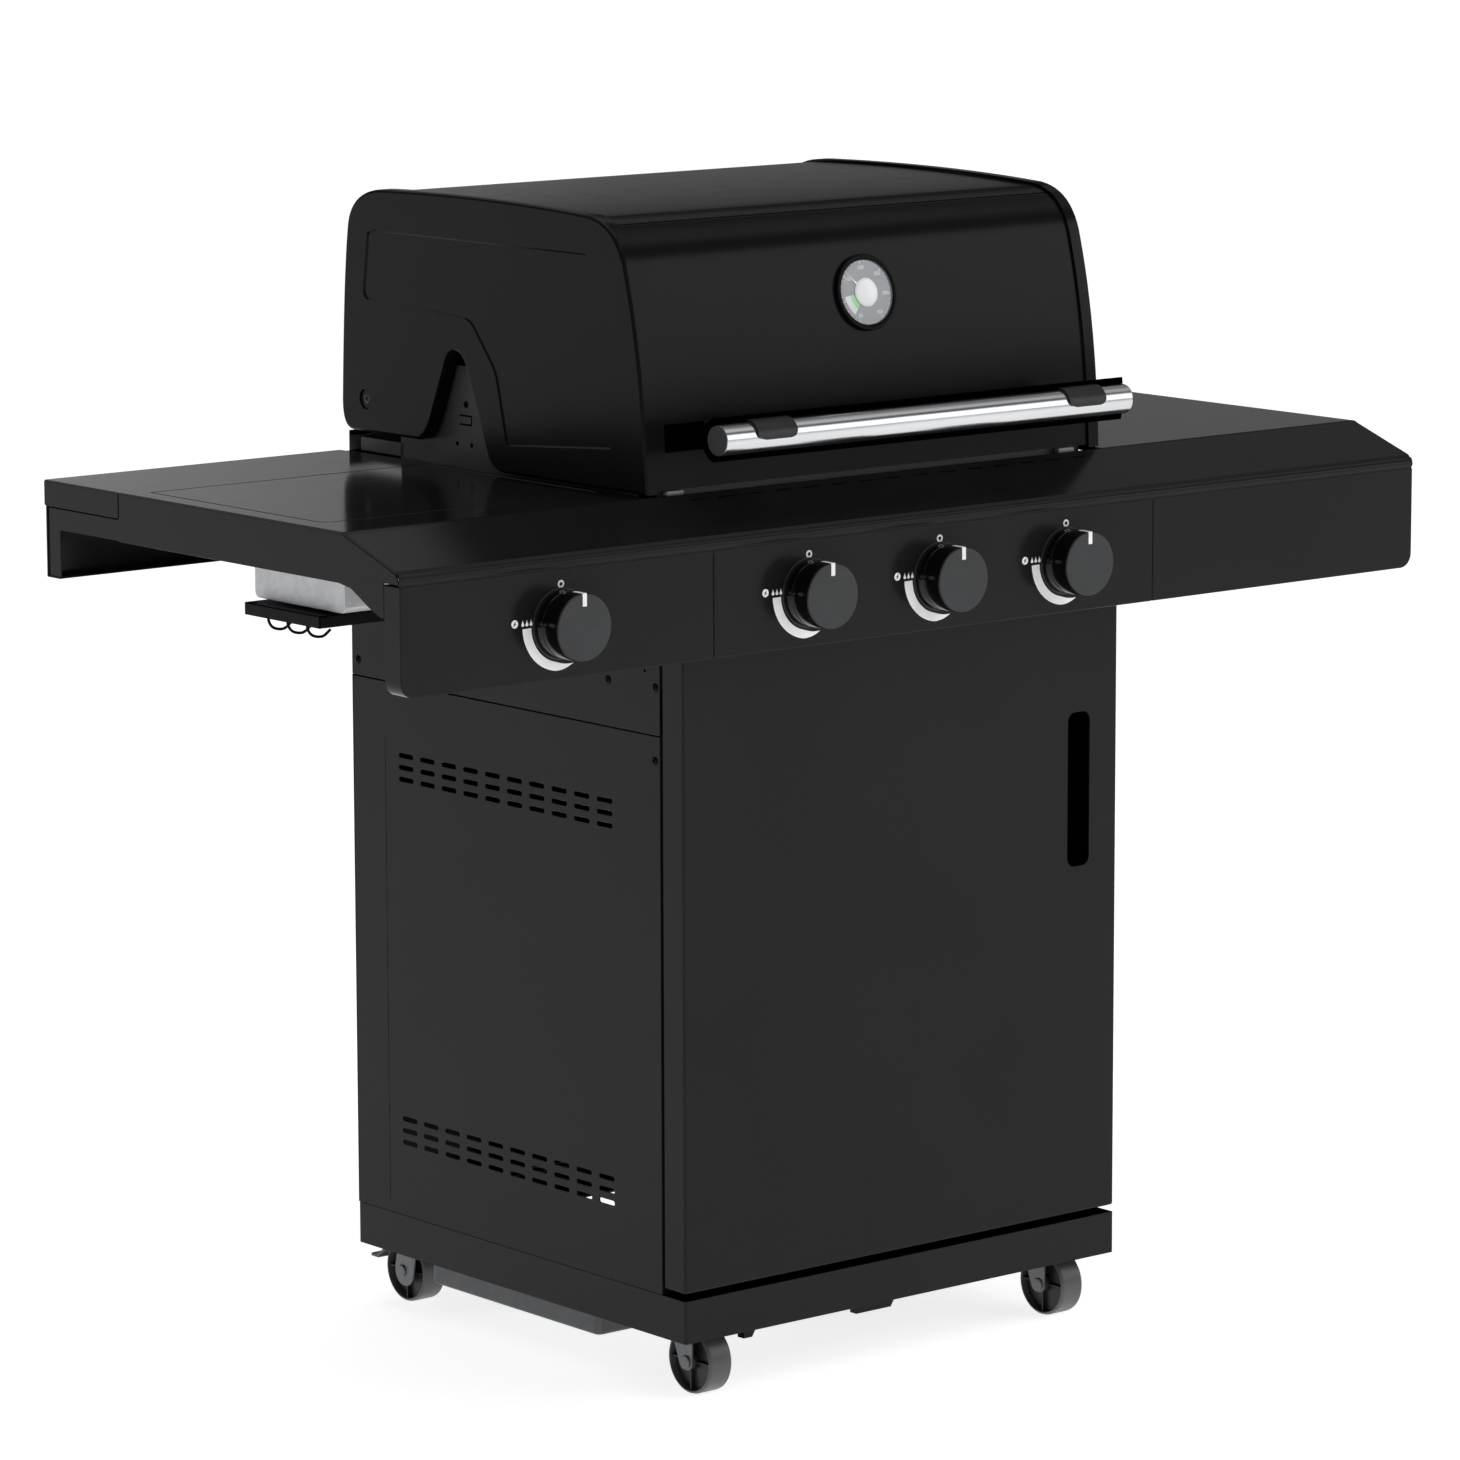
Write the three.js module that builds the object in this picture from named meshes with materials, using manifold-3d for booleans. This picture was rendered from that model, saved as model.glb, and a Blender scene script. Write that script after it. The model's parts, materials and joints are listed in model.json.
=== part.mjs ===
// Three-burner gas barbecue grill on a cabinet cart, with a side burner.
// Millimetres, +Z up, the door and control panel face -Y.  The pieces are placed about a Y = 0 just
// behind the middle of the cabinet, and the last lines move that to the middle of the bounding box.
import * as THREE from 'three';
import { mergeVertices } from 'three/addons/utils/BufferGeometryUtils.js';
import Module from 'manifold-3d';

const wasm = await Module();
wasm.setup();

// ---- driving dimensions ---------------------------------------------------------------------
const gap = 0.3;              // air between pieces that touch
const sheet = 1.5;            // thickness of the folded steel sheet

const halfWidth = 620;        // worktop and control panel
const cabinetHalf = 268.5;    // cabinet, door and base
const doorFront = -240;
const doorBack = -210.5;
const sideFront = -206.3;     // front edge of the side panels
const cabinetBack = 266.8;
const tableBack = 265;
const fasciaFront = -286.5;
const fasciaSeam = 269.8;
const chamferBack = -203.5;

const baseBottom = 60;
const baseTop = 100.7;
const doorBottom = 107.5;
const doorTop = 700;
const sideJoint = 625;        // joint between the vented and the upper side panels
const fasciaBottom = 706.2;
const fasciaTop = 814;
const skirtBottom = 798.7;
const tableTop = 844.2;

const knobRadius = 30.5;
const knobFace = -320.5;
const knobBack = -291;
const knobHeight = 756;
const burnerPitch = 158;
const sideBurnerX = -444;
const sideBurnerY = -12.5;
const stemRadius = 4;
const pushTravel = 3;

const lidHalf = 279.5;        // outer faces of the end caps
const lidCapWidth = 14.5;
const lidHinge = { y: 224, z: 896.6 };

const fireboxHalf = 262;
const fireboxFront = -190;
const fireboxBack = 192;
const grateLedge = 861;

const wheelRadius = 31.5;
const wheelWidth = 27;
const casterX = 221;
const frontAxle = -203;
const rearAxle = 238;
const casterTrail = 10;
const brakeTip = 284.5;

// ---- solids ---------------------------------------------------------------------------------
const toSolid = (geometry) => {
  const plain = geometry.clone();
  plain.deleteAttribute('normal');
  plain.deleteAttribute('uv');
  const merged = mergeVertices(plain, 1e-4);
  return new wasm.Manifold(new wasm.Mesh({
    numProp: 3,
    vertProperties: new Float32Array(merged.attributes.position.array),
    triVerts: new Uint32Array(merged.index.array),
  }));
};

// Flat faces that several pieces share become one face again before the solid is read out.
const toGeometry = (solid) => {
  const mesh = solid.asOriginal().simplify(1e-3).getMesh();
  const geometry = new THREE.BufferGeometry();
  geometry.setAttribute('position', new THREE.BufferAttribute(new Float32Array(mesh.vertProperties), 3));
  geometry.setIndex(new THREE.BufferAttribute(new Uint32Array(mesh.triVerts), 1));
  return geometry;
};

const join = (...pieces) => toGeometry(pieces.map(toSolid).reduce((whole, piece) => whole.add(piece)));
const cut = (body, ...tools) => toGeometry(tools.map(toSolid).reduce((rest, tool) => rest.subtract(tool),
  toSolid(body)));

// A box between two opposite corners.
const box = (x0, x1, y0, y1, z0, z1) => new THREE.BoxGeometry(x1 - x0, y1 - y0, z1 - z0)
  .translate((x0 + x1) / 2, (y0 + y1) / 2, (z0 + z1) / 2);

// Round rods along each axis, from a to b.
const rodZ = (radius, x, y, a, b, sides = 20) => new THREE.CylinderGeometry(radius, radius, b - a, sides)
  .rotateX(Math.PI / 2).translate(x, y, (a + b) / 2);
const rodY = (radius, x, z, a, b, sides = 20) => new THREE.CylinderGeometry(radius, radius, b - a, sides)
  .translate(x, (a + b) / 2, z);
const rodX = (radius, y, z, a, b, sides = 20) => new THREE.CylinderGeometry(radius, radius, b - a, sides)
  .rotateZ(Math.PI / 2).translate((a + b) / 2, y, z);

// A flat outline from corner points, each [a, b].
const outline = (points) => new THREE.Shape(points.map(([a, b]) => new THREE.Vector2(a, b)));

const prism = (shape, depth, curveSegments = 6) => new THREE.ExtrudeGeometry(shape,
  { depth, bevelEnabled: false, curveSegments, steps: 1 });

// Extrusions of a Y-Z outline along X, an X-Z outline along Y and an X-Y outline along Z.
const alongX = (shape, x0, x1, curveSegments) => prism(shape, x1 - x0, curveSegments)
  .applyMatrix4(new THREE.Matrix4().set(0, 0, 1, x0, 1, 0, 0, 0, 0, 1, 0, 0, 0, 0, 0, 1));
const alongY = (shape, y0, y1, curveSegments) => prism(shape, y1 - y0, curveSegments)
  .applyMatrix4(new THREE.Matrix4().set(1, 0, 0, 0, 0, 0, -1, y1, 0, 1, 0, 0, 0, 0, 0, 1));
const alongZ = (shape, z0, z1, curveSegments) => prism(shape, z1 - z0, curveSegments).translate(0, 0, z0);

// The same outline moved inwards by a distance, for the hollow of a folded cap.
const inset = (points, distance) => points.map((point, i) => {
  const before = points[(i + points.length - 1) % points.length];
  const after = points[(i + 1) % points.length];
  const normalIn = new THREE.Vector2().subVectors(point, before).normalize();
  const normalOut = new THREE.Vector2().subVectors(after, point).normalize();
  const mitre = new THREE.Vector2(-normalIn.y - normalOut.y, normalIn.x + normalOut.x).normalize();
  const stretch = Math.max(0.5, mitre.dot(new THREE.Vector2(-normalIn.y, normalIn.x)));
  return new THREE.Vector2().copy(point).addScaledVector(mitre, distance / stretch);
});

// An open-topped folded pan: outer size, floor and walls of sheet.
const pan = (x0, x1, y0, y1, z0, z1, wall = sheet) => cut(box(x0, x1, y0, y1, z0, z1),
  box(x0 + wall, x1 - wall, y0 + wall, y1 - wall, z0 + wall, z1 + 1));

// A round wire along a smooth path of points.
const wire = (points, radius, steps, sides = 8) => {
  const section = new THREE.Shape();
  section.absarc(0, 0, radius, 0, 2 * Math.PI, false);
  return new THREE.ExtrudeGeometry(section, {
    steps,
    curveSegments: sides / 2,
    bevelEnabled: false,
    extrudePath: new THREE.CatmullRomCurve3(points.map(([x, y, z]) => new THREE.Vector3(x, y, z))),
  });
};

const mirrorX = (geometry) => {
  const mirrored = geometry.clone().scale(-1, 1, 1);
  const flat = mirrored.index ? mirrored.toNonIndexed() : mirrored;
  const { array } = flat.attributes.position;
  for (let i = 0; i < array.length; i += 9) {
    for (let k = 0; k < 3; k += 1) {
      [array[i + 3 + k], array[i + 6 + k]] = [array[i + 6 + k], array[i + 3 + k]];
    }
  }
  return flat;
};

// ---- materials ------------------------------------------------------------------------------
const paint = (color, roughness, metalness) => new THREE.MeshStandardMaterial(
  { color, roughness, metalness },
);
const materials = {
  satinBlack: paint(0x2a2b2c, 0.45, 0.2),
  enamelBlack: paint(0x1f2121, 0.35, 0.2),
  glossTable: paint(0x303133, 0.2, 0.3),
  steel: paint(0xc4c6c9, 0.3, 1),
  galvanised: paint(0xa5a7ac, 0.5, 0.9),
  greySteel: paint(0x5a5c5e, 0.5, 0.6),
  castIron: paint(0x2c2c2d, 0.75, 0.4),
  plastic: paint(0x161617, 0.5, 0),
  tyre: paint(0x242526, 0.5, 0),
  brass: paint(0xb08d4c, 0.35, 1),
  needle: paint(0xf2f2f2, 0.5, 0),
};

const grill = new THREE.Group();
const add = (name, geometry, material) => {
  const mesh = new THREE.Mesh(geometry, material);
  mesh.name = name;
  grill.add(mesh);
};
const addBothSides = (name, geometry, material) => {
  add(`${name}_left`, geometry, material);
  add(`${name}_right`, mirrorX(geometry), material);
};

// ---- base -----------------------------------------------------------------------------------
const bottleHole = { x0: -240, x1: -20, y0: -92, y1: 149 };
const trayRim = 10;           // the bottle tray is this much wider than the hole above it

add('base_frame', cut(
  box(-cabinetHalf, cabinetHalf, doorFront, cabinetBack, baseBottom, baseTop),
  box(-cabinetHalf + 2, cabinetHalf - 2, doorFront + 2, cabinetBack - 2, baseBottom - 1, baseTop + 1),
), materials.satinBlack);

const floorBottom = 97;
const floorInset = 2 + gap;
add('base_floor', cut(
  box(-cabinetHalf + floorInset, cabinetHalf - floorInset, doorFront + floorInset, cabinetBack - floorInset,
    floorBottom, floorBottom + sheet),
  box(bottleHole.x0, bottleHole.x1, bottleHole.y0, bottleHole.y1, floorBottom - 1, floorBottom + 5),
), materials.satinBlack);

const trayBottom = 39;
add('bottle_tray', cut(
  pan(bottleHole.x0 - 2.2 * trayRim, bottleHole.x1 + trayRim, bottleHole.y0 - trayRim,
    bottleHole.y1 + trayRim, trayBottom, floorBottom - gap),
  box(bottleHole.x0, bottleHole.x1, bottleHole.y1, bottleHole.y1 + 3 * trayRim, baseBottom, floorBottom),
), materials.galvanised);

// ---- cabinet --------------------------------------------------------------------------------
const ventSlot = { length: 23, height: 4.5, pitch: 34, rowPitch: 11.6, columns: 10, rows: 3 };
const ventBack = 181.3;       // middle of the rearmost slot of each row
const ventTops = [555, 197.5];

const ventSlots = () => {
  const slots = [];
  for (const top of ventTops) {
    for (let row = 0; row < ventSlot.rows; row += 1) {
      for (let column = 0; column < ventSlot.columns; column += 1) {
        const y = ventBack - column * ventSlot.pitch;
        const z = top - row * ventSlot.rowPitch;
        slots.push(box(-cabinetHalf - 1, -cabinetHalf + sheet + 1, y - ventSlot.length / 2,
          y + ventSlot.length / 2, z - ventSlot.height / 2, z + ventSlot.height / 2));
      }
    }
  }
  return slots;
};
addBothSides('side_panel', cut(
  box(-cabinetHalf, -cabinetHalf + sheet, sideFront, cabinetBack - sheet - gap, baseTop + gap,
    sideJoint - gap),
  ...ventSlots(),
), materials.satinBlack);

const upperSideTop = 840;
addBothSides('upper_side', box(-cabinetHalf, -cabinetHalf + sheet, sideFront, cabinetBack, sideJoint,
  upperSideTop), materials.satinBlack);

// The back panel stands above the worktops, under the hood's rear edge. It has a service opening for
// the hose and a slot that the grease tray comes out of.
const backPanelTop = 862;
const serviceHole = { x0: -190, x1: 50, z0: 215, z1: 425 };
const greaseHalf = 200;       // half the grease tray's width
const greaseSlot = { x: greaseHalf + 8, z0: 704, z1: 744 };
const panelNotch = box(-cabinetHalf - 1, -cabinetHalf + sheet + gap, cabinetBack - 5, cabinetBack + 5,
  sideJoint - gap, upperSideTop + gap);
add('back_panel', cut(
  box(-cabinetHalf, cabinetHalf, cabinetBack - sheet, cabinetBack, baseTop + gap, backPanelTop),
  box(serviceHole.x0, serviceHole.x1, cabinetBack - 5, cabinetBack + 5, serviceHole.z0, serviceHole.z1),
  box(-greaseSlot.x, greaseSlot.x, cabinetBack - 5, cabinetBack + 5, greaseSlot.z0, greaseSlot.z1),
  panelNotch,
  mirrorX(panelNotch),
), materials.satinBlack);

const headerHalf = cabinetHalf - sheet - gap;
add('door_header', box(-headerHalf, headerHalf, doorFront + 2, sideFront - gap, doorTop + 3, doorTop + 20),
  materials.satinBlack);

// ---- door -----------------------------------------------------------------------------------
const slotX = 219;
const slotHalfWidth = 14.2;
const slotBottom = 449;
const slotTop = 599;
const slotShape = (halfWidthOfSlot, bottom, top, corner) => {
  const shape = new THREE.Shape();
  shape.moveTo(slotX - halfWidthOfSlot + corner, bottom);
  shape.lineTo(slotX + halfWidthOfSlot - corner, bottom);
  shape.absarc(slotX + halfWidthOfSlot - corner, bottom + corner, corner, -Math.PI / 2, 0, false);
  shape.absarc(slotX + halfWidthOfSlot - corner, top - corner, corner, 0, Math.PI / 2, false);
  shape.absarc(slotX - halfWidthOfSlot + corner, top - corner, corner, Math.PI / 2, Math.PI, false);
  shape.absarc(slotX - halfWidthOfSlot + corner, bottom + corner, corner, Math.PI, 1.5 * Math.PI, false);
  return shape;
};
const doorPan = cut(
  box(-cabinetHalf, cabinetHalf, doorFront, doorBack, doorBottom, doorTop),
  box(-cabinetHalf + sheet, cabinetHalf - sheet, doorFront + sheet, doorBack + 1, doorBottom + sheet,
    doorTop - sheet),
);
const doorSlot = alongY(slotShape(slotHalfWidth, slotBottom, slotTop, 9), doorFront - 1, doorFront + 5, 3);
add('door_panel', cut(doorPan, doorSlot), materials.satinBlack);

const gripBack = doorBack - 4;
const gripWall = 2;
const gripMargin = gripWall + 2;   // the cup reaches this far beyond the slot
const gripBox = (margin, y0, y1) => {
  const half = slotHalfWidth + margin;
  return box(slotX - half, slotX + half, y0, y1, slotBottom - margin, slotTop + margin);
};
add('door_grip', cut(
  gripBox(gripMargin, doorFront + sheet + gap, gripBack),
  gripBox(gripMargin - gripWall, doorFront, gripBack - gripWall),
), materials.plastic);

// ---- control panel and ledge ----------------------------------------------------------------
const lipBottom = fasciaTop - 8;
const ledgeShape = outline([
  [chamferBack, tableTop], [fasciaFront + 4, fasciaTop + 2], [fasciaFront, fasciaTop - 2],
  [fasciaFront, lipBottom], [fasciaFront + sheet, lipBottom], [fasciaFront + sheet, fasciaTop - 2.5],
  [fasciaFront + 4.6, fasciaTop + 0.5], [chamferBack, tableTop - sheet],
]);
add('front_ledge', alongX(ledgeShape, -halfWidth, halfWidth), materials.satinBlack);

const panelCorner = 14;
const fasciaPlate = (x0, x1, roundRight) => {
  const shape = new THREE.Shape();
  shape.moveTo(x0, fasciaBottom);
  shape.lineTo(x1 - (roundRight ? panelCorner : 0), fasciaBottom);
  if (roundRight) {
    shape.absarc(x1 - panelCorner, fasciaBottom + panelCorner, panelCorner, -Math.PI / 2, 0, false);
  }
  shape.lineTo(x1, lipBottom - gap);
  shape.lineTo(x0, lipBottom - gap);
  return alongY(shape, fasciaFront, fasciaFront + sheet, 5);
};
const stemHole = (x) => rodY(stemRadius + 2, x, knobHeight, fasciaFront - 5, fasciaFront + 5, 16);
const centreStems = [-burnerPitch, 0, burnerPitch];
const flangeBack = doorFront - 1;
add('fascia_centre', cut(join(
  fasciaPlate(-fasciaSeam, fasciaSeam, false),
  box(-fasciaSeam, fasciaSeam, fasciaFront, flangeBack, fasciaBottom, fasciaBottom + sheet),
), ...centreStems.map(stemHole)), materials.satinBlack);

// The outer control panels turn back along the worktop's ends.
const returnBack = -263;
const returnTop = 794;
const outerFascia = join(
  fasciaPlate(fasciaSeam + gap, halfWidth, true),
  box(fasciaSeam + gap, halfWidth - panelCorner, fasciaFront, fasciaFront + 22, fasciaBottom,
    fasciaBottom + sheet),
  box(halfWidth - sheet, halfWidth, fasciaFront, returnBack, fasciaBottom + panelCorner, returnTop),
);
add('fascia_left', cut(mirrorX(outerFascia), stemHole(sideBurnerX)), materials.satinBlack);
add('fascia_right', outerFascia, materials.satinBlack);

// ---- worktops -------------------------------------------------------------------------------
const coverHole = { x0: -598, x1: -286, y0: -145.5, y1: 124.5 };
const backSkirtBottom = 753;
const backSkirtFront = 244;
const tableInner = cabinetHalf + 1.7;
const chamferSlope = (tableTop - fasciaTop - 2) / (chamferBack - fasciaFront - 4);
const underLedge = (y) => tableTop - sheet - gap - (chamferBack - y) * chamferSlope;
const endSkirt = outline([
  [tableBack, tableTop], [chamferBack + gap, tableTop], [chamferBack + gap, underLedge(chamferBack)],
  [returnBack + gap, underLedge(returnBack)], [returnBack + gap, 773], [-240, 782], [-214, 796],
  [-200, skirtBottom], [backSkirtFront, skirtBottom], [backSkirtFront, backSkirtBottom],
  [tableBack, backSkirtBottom],
]);
// The inner edge is stepped down by one sheet, clear of the hood's edge above it.
const tableStep = lidHalf + 1;
const rightTable = join(
  box(tableStep, halfWidth, chamferBack + gap, tableBack, tableTop - sheet, tableTop),
  box(tableInner, tableStep + sheet, chamferBack + gap, tableBack, tableTop - 2 * sheet, tableTop - sheet),
  alongX(endSkirt, halfWidth - sheet, halfWidth),
  box(tableInner, halfWidth, tableBack - sheet, tableBack, backSkirtBottom, tableTop - sheet),
  box(tableInner, halfWidth, backSkirtFront, tableBack, backSkirtBottom, backSkirtBottom + sheet),
);
add('table_right', rightTable, materials.glossTable);
add('table_left', cut(
  mirrorX(rightTable),
  box(coverHole.x0, coverHole.x1, coverHole.y0, coverHole.y1, tableTop - 5, tableTop + 5),
), materials.glossTable);

// ---- side burner ----------------------------------------------------------------------------
const panBottom = 801;
const panTop = tableTop - sheet - gap;
const burnerHoleRadius = 50;
const panWiden = 2;
add('side_burner_pan', cut(
  pan(coverHole.x0 - panWiden, coverHole.x1 + panWiden, coverHole.y0 - panWiden, coverHole.y1 + panWiden,
    panBottom, panTop),
  rodZ(burnerHoleRadius, sideBurnerX, sideBurnerY, panBottom - 5, panBottom + 5, 24),
), materials.enamelBlack);

const boxHalfX = 86;
const boxHalfY = 69.5;
const boxBottom = 749;
const boxFront = sideBurnerY - boxHalfY;
const tubeSlotHalf = 22;      // half the slot that the burner's tube goes through
add('side_burner_box', cut(
  pan(sideBurnerX - boxHalfX, sideBurnerX + boxHalfX, sideBurnerY - boxHalfY, sideBurnerY + boxHalfY,
    boxBottom, panBottom - gap, 2),
  box(sideBurnerX - tubeSlotHalf, sideBurnerX + tubeSlotHalf, boxFront - 5, boxFront + 5, boxBottom + 10,
    panBottom + 5),
), materials.galvanised);

const burnerPoints = [[0, 760], [24, 760], [24, 778], [30, 796], [42, 806], [42, 818], [34, 824], [0, 826]];
const burnerHead = new THREE.LatheGeometry(burnerPoints.map(([r, z]) => new THREE.Vector2(r, z)), 28)
  .rotateX(Math.PI / 2).translate(sideBurnerX, sideBurnerY, 0);
const venturiFront = -222;
const venturiTube = rodY(9, sideBurnerX, 774, venturiFront, sideBurnerY, 14);
add('side_burner', join(burnerHead, venturiTube), materials.brass);

const supportArm = (angle) => box(36, 108, -3, 3, panBottom + sheet + gap + 24, tableTop - 5)
  .rotateZ(angle).translate(sideBurnerX, sideBurnerY, 0);
const supportFoot = (angle) => box(96, 108, -3, 3, panBottom + sheet + gap, tableTop - 5)
  .rotateZ(angle).translate(sideBurnerX, sideBurnerY, 0);
const supportRing = cut(
  rodZ(64, sideBurnerX, sideBurnerY, panBottom + sheet + gap + 24, tableTop - 8, 32),
  rodZ(57, sideBurnerX, sideBurnerY, panBottom, tableTop, 32),
);
const quarterTurns = [0, 1, 2, 3].map((turn) => (turn + 0.5) * Math.PI / 2);
add('pan_support', join(supportRing, ...quarterTurns.map(supportArm), ...quarterTurns.map(supportFoot)),
  materials.castIron);

const coverGap = 1.5;
const coverRimDrop = 3;
const coverBack = coverHole.y1 - coverGap;
const coverThick = 1.8;
const coverPlate = box(coverHole.x0 + coverGap, coverHole.x1 - coverGap, coverHole.y0 + coverGap, coverBack,
  tableTop - coverThick, tableTop);
const stiffenerBox = (margin, z0, z1) => box(coverHole.x0 + margin, coverHole.x1 - margin,
  coverHole.y0 + margin, coverBack - margin - 4, z0, z1);
const coverStiffener = cut(
  stiffenerBox(8, tableTop - coverThick - coverRimDrop, tableTop - 1),
  stiffenerBox(14, tableTop - 20, tableTop + 5),
);
add('side_burner_cover', join(coverPlate, coverStiffener), materials.glossTable);

// ---- tool hooks under the left worktop ------------------------------------------------------
const hookRail = { x0: -545, x1: -470, y0: -66, y1: 52, top: 745, drop: 13 };
const hook = (y) => wire([
  [hookRail.x0 + 0.75, y, hookRail.top - hookRail.drop + 4], [hookRail.x0 + 0.75, y, hookRail.top - 20],
  [hookRail.x0 + 6, y - 3, hookRail.top - 26], [hookRail.x0 + 18, y - 8, hookRail.top - 26],
  [hookRail.x0 + 24, y - 10, hookRail.top - 18],
], 1.4, 10);
add('tool_hooks', join(
  box(hookRail.x0, hookRail.x1, hookRail.y0, hookRail.y1, hookRail.top, hookRail.top + sheet),
  box(hookRail.x0, hookRail.x0 + sheet, hookRail.y0, hookRail.y1, hookRail.top - hookRail.drop,
    hookRail.top + sheet),
  box(hookRail.x0, hookRail.x1, hookRail.y0, hookRail.y0 + sheet, hookRail.top - hookRail.drop,
    hookRail.top + sheet),
  ...[-50, -20, 10].map(hook),
), materials.plastic);

// ---- firebox --------------------------------------------------------------------------------
const wallBottom = 738;
const fireboxEar = 13;
const towerTop = 938;
const sideWall = () => {
  const shape = outline([[fireboxFront, wallBottom], [fireboxBack, wallBottom],
    [fireboxBack, lidHinge.z - fireboxEar], [lidHinge.y, lidHinge.z - fireboxEar]]);
  shape.absarc(lidHinge.y, lidHinge.z, fireboxEar, -Math.PI / 2, Math.PI / 2, false);
  for (const [y, z] of [[132, lidHinge.z + fireboxEar], [112, towerTop], [58, towerTop], [30, grateLedge],
    [fireboxFront, grateLedge]]) {
    shape.lineTo(y, z);
  }
  return shape;
};
const fireboxSide = cut(
  alongX(sideWall(), fireboxHalf - sheet, fireboxHalf, 6),
  rodX(4.6, lidHinge.y, lidHinge.z, fireboxHalf - 10, fireboxHalf + 10),
);
const ledgeDepth = 10;
const burnerHeight = 800;
const burnerRadius = 12;
const burnerHole = (x) => rodY(burnerRadius + 2, x, burnerHeight, fireboxFront - 5, fireboxFront + 5, 16);
add('firebox_walls', cut(join(
  fireboxSide,
  mirrorX(fireboxSide),
  box(-fireboxHalf, fireboxHalf, fireboxFront, fireboxFront + sheet, wallBottom, grateLedge),
  box(-fireboxHalf, fireboxHalf, fireboxBack - sheet, fireboxBack, wallBottom, 880),
  box(-fireboxHalf, fireboxHalf, fireboxFront, fireboxFront + ledgeDepth, grateLedge - sheet, grateLedge),
  box(-fireboxHalf, fireboxHalf, fireboxBack - ledgeDepth, fireboxBack, grateLedge - sheet, grateLedge),
), ...centreStems.map(burnerHole)), materials.greySteel);

const innerX = fireboxHalf - sheet - gap;
const innerFront = fireboxFront + sheet + gap;
const innerBack = fireboxBack - sheet - gap;
const funnel = outline([[-innerX, 776], [-30, 750], [30, 750], [innerX, 776], [innerX, 774], [30, 748],
  [-30, 748], [-innerX, 774]].reverse());
const trayFloor = 712;
const trayTop = 736;
const railX = greaseHalf + 2;
const trayRail = join(
  box(railX, railX + sheet, -150, innerBack, trayFloor - 3, 768),
  box(railX - 10, railX + sheet, -150, innerBack, trayFloor - 3, trayFloor - 3 + sheet),
);
add('firebox_floor', join(
  cut(alongY(funnel, innerFront, innerBack), box(-30, 30, -40, 40, 700, 800)),
  trayRail,
  mirrorX(trayRail),
), materials.greySteel);

const burnerBack = 172;
centreStems.forEach((x, i) => {
  const tube = cut(
    rodY(burnerRadius, x, burnerHeight, -214, burnerBack),
    rodY(burnerRadius - 1.5, x, burnerHeight, -220, burnerBack - 3),
  );
  add(`burner_${i + 1}`, tube, materials.steel);
});

const tentEnds = [-176, 178];
const tent = (x) => alongY(outline([[x - 38, 826], [x - 36.6, 825], [x, 845.6], [x + 36.6, 825],
  [x + 38, 826], [x, 847.6]]), ...tentEnds);
const tentRail = (y) => box(-250, 250, y, y + 4, 824, 828);
add('heat_tents', join(...centreStems.map(tent), tentRail(tentEnds[0]), tentRail(tentEnds[1] - 4)),
  materials.greySteel);

const grateThick = 11;
const grate = (x0, x1, name) => {
  const z0 = grateLedge + gap;
  const z1 = z0 + grateThick;
  const bars = [
    box(x0, x1, innerFront, innerFront + 9, z0, z1),
    box(x0, x1, innerBack - 9, innerBack, z0, z1),
    box(x0, x1, -4, 4, z0, z0 + 7),
  ];
  const count = 13;
  const barWidth = 7;
  for (let i = 0; i < count; i += 1) {
    const x = x0 + (x1 - x0 - barWidth) * i / (count - 1);
    bars.push(box(x, x + barWidth, innerFront, innerBack, z0, z1));
  }
  add(name, join(...bars), materials.castIron);
};
grate(-innerX, -1, 'grate_left');
grate(1, innerX, 'grate_right');

const rackZ = 926;
const rackBars = [];
for (let i = 0; i < 7; i += 1) {
  const y = 62 + 15 * i;
  rackBars.push(box(-innerX, innerX, y, y + 3, rackZ, rackZ + 3));
}
for (let i = 0; i < 4; i += 1) {
  const x = -innerX + (2 * innerX - 4) * i / 3;
  rackBars.push(box(x, x + 4, 62, 155, rackZ - 3, rackZ + 1));
}
add('warming_rack', join(...rackBars), materials.steel);

// ---- gas train and knobs --------------------------------------------------------------------
const manifoldY = -230;
const valveFront = -264;
const stemBack = -256;
const stemFront = knobBack - 14;
const allStems = [sideBurnerX, ...centreStems];
const boreBack = stemBack + pushTravel + 2;
add('gas_manifold', cut(
  join(
    rodX(10, manifoldY, knobHeight, sideBurnerX - 22, burnerPitch + 26, 16),
    ...allStems.map((x) => rodY(14, x, knobHeight, valveFront, manifoldY, 16)),
  ),
  ...allStems.map((x) => rodY(stemRadius + 0.6, x, knobHeight, valveFront - 5, boreBack, 16)),
), materials.brass);

allStems.forEach((x, i) => {
  add(`valve_stem_${i + 1}`, rodY(stemRadius, x, knobHeight, stemFront, stemBack, 16), materials.steel);
  const knobProfile = [[0, knobFace], [knobRadius - 1.5, knobFace], [knobRadius, knobFace + 1.5],
    [knobRadius, knobBack], [0, knobBack]];
  const knobBody = new THREE.LatheGeometry(knobProfile.map(([r, y]) => new THREE.Vector2(r, y)), 32)
    .translate(x, 0, knobHeight);
  const bore = rodY(stemRadius + gap, x, knobHeight, stemFront - 1, knobBack + 5, 16);
  add(`knob_${i + 1}`, cut(knobBody, bore), materials.plastic);
});

// ---- grease tray, pulled out to the rear ----------------------------------------------------
const greaseBack = 250;
add('grease_tray', join(
  pan(-greaseHalf, greaseHalf, -148, greaseBack, trayFloor, trayTop),
  box(-60, 60, greaseBack - sheet, cabinetBack - 4, trayTop - 5, trayTop - 3),
  box(-60, 60, cabinetBack - 6, cabinetBack - 4, trayTop - 16, trayTop - 3),
), materials.galvanised);

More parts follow.
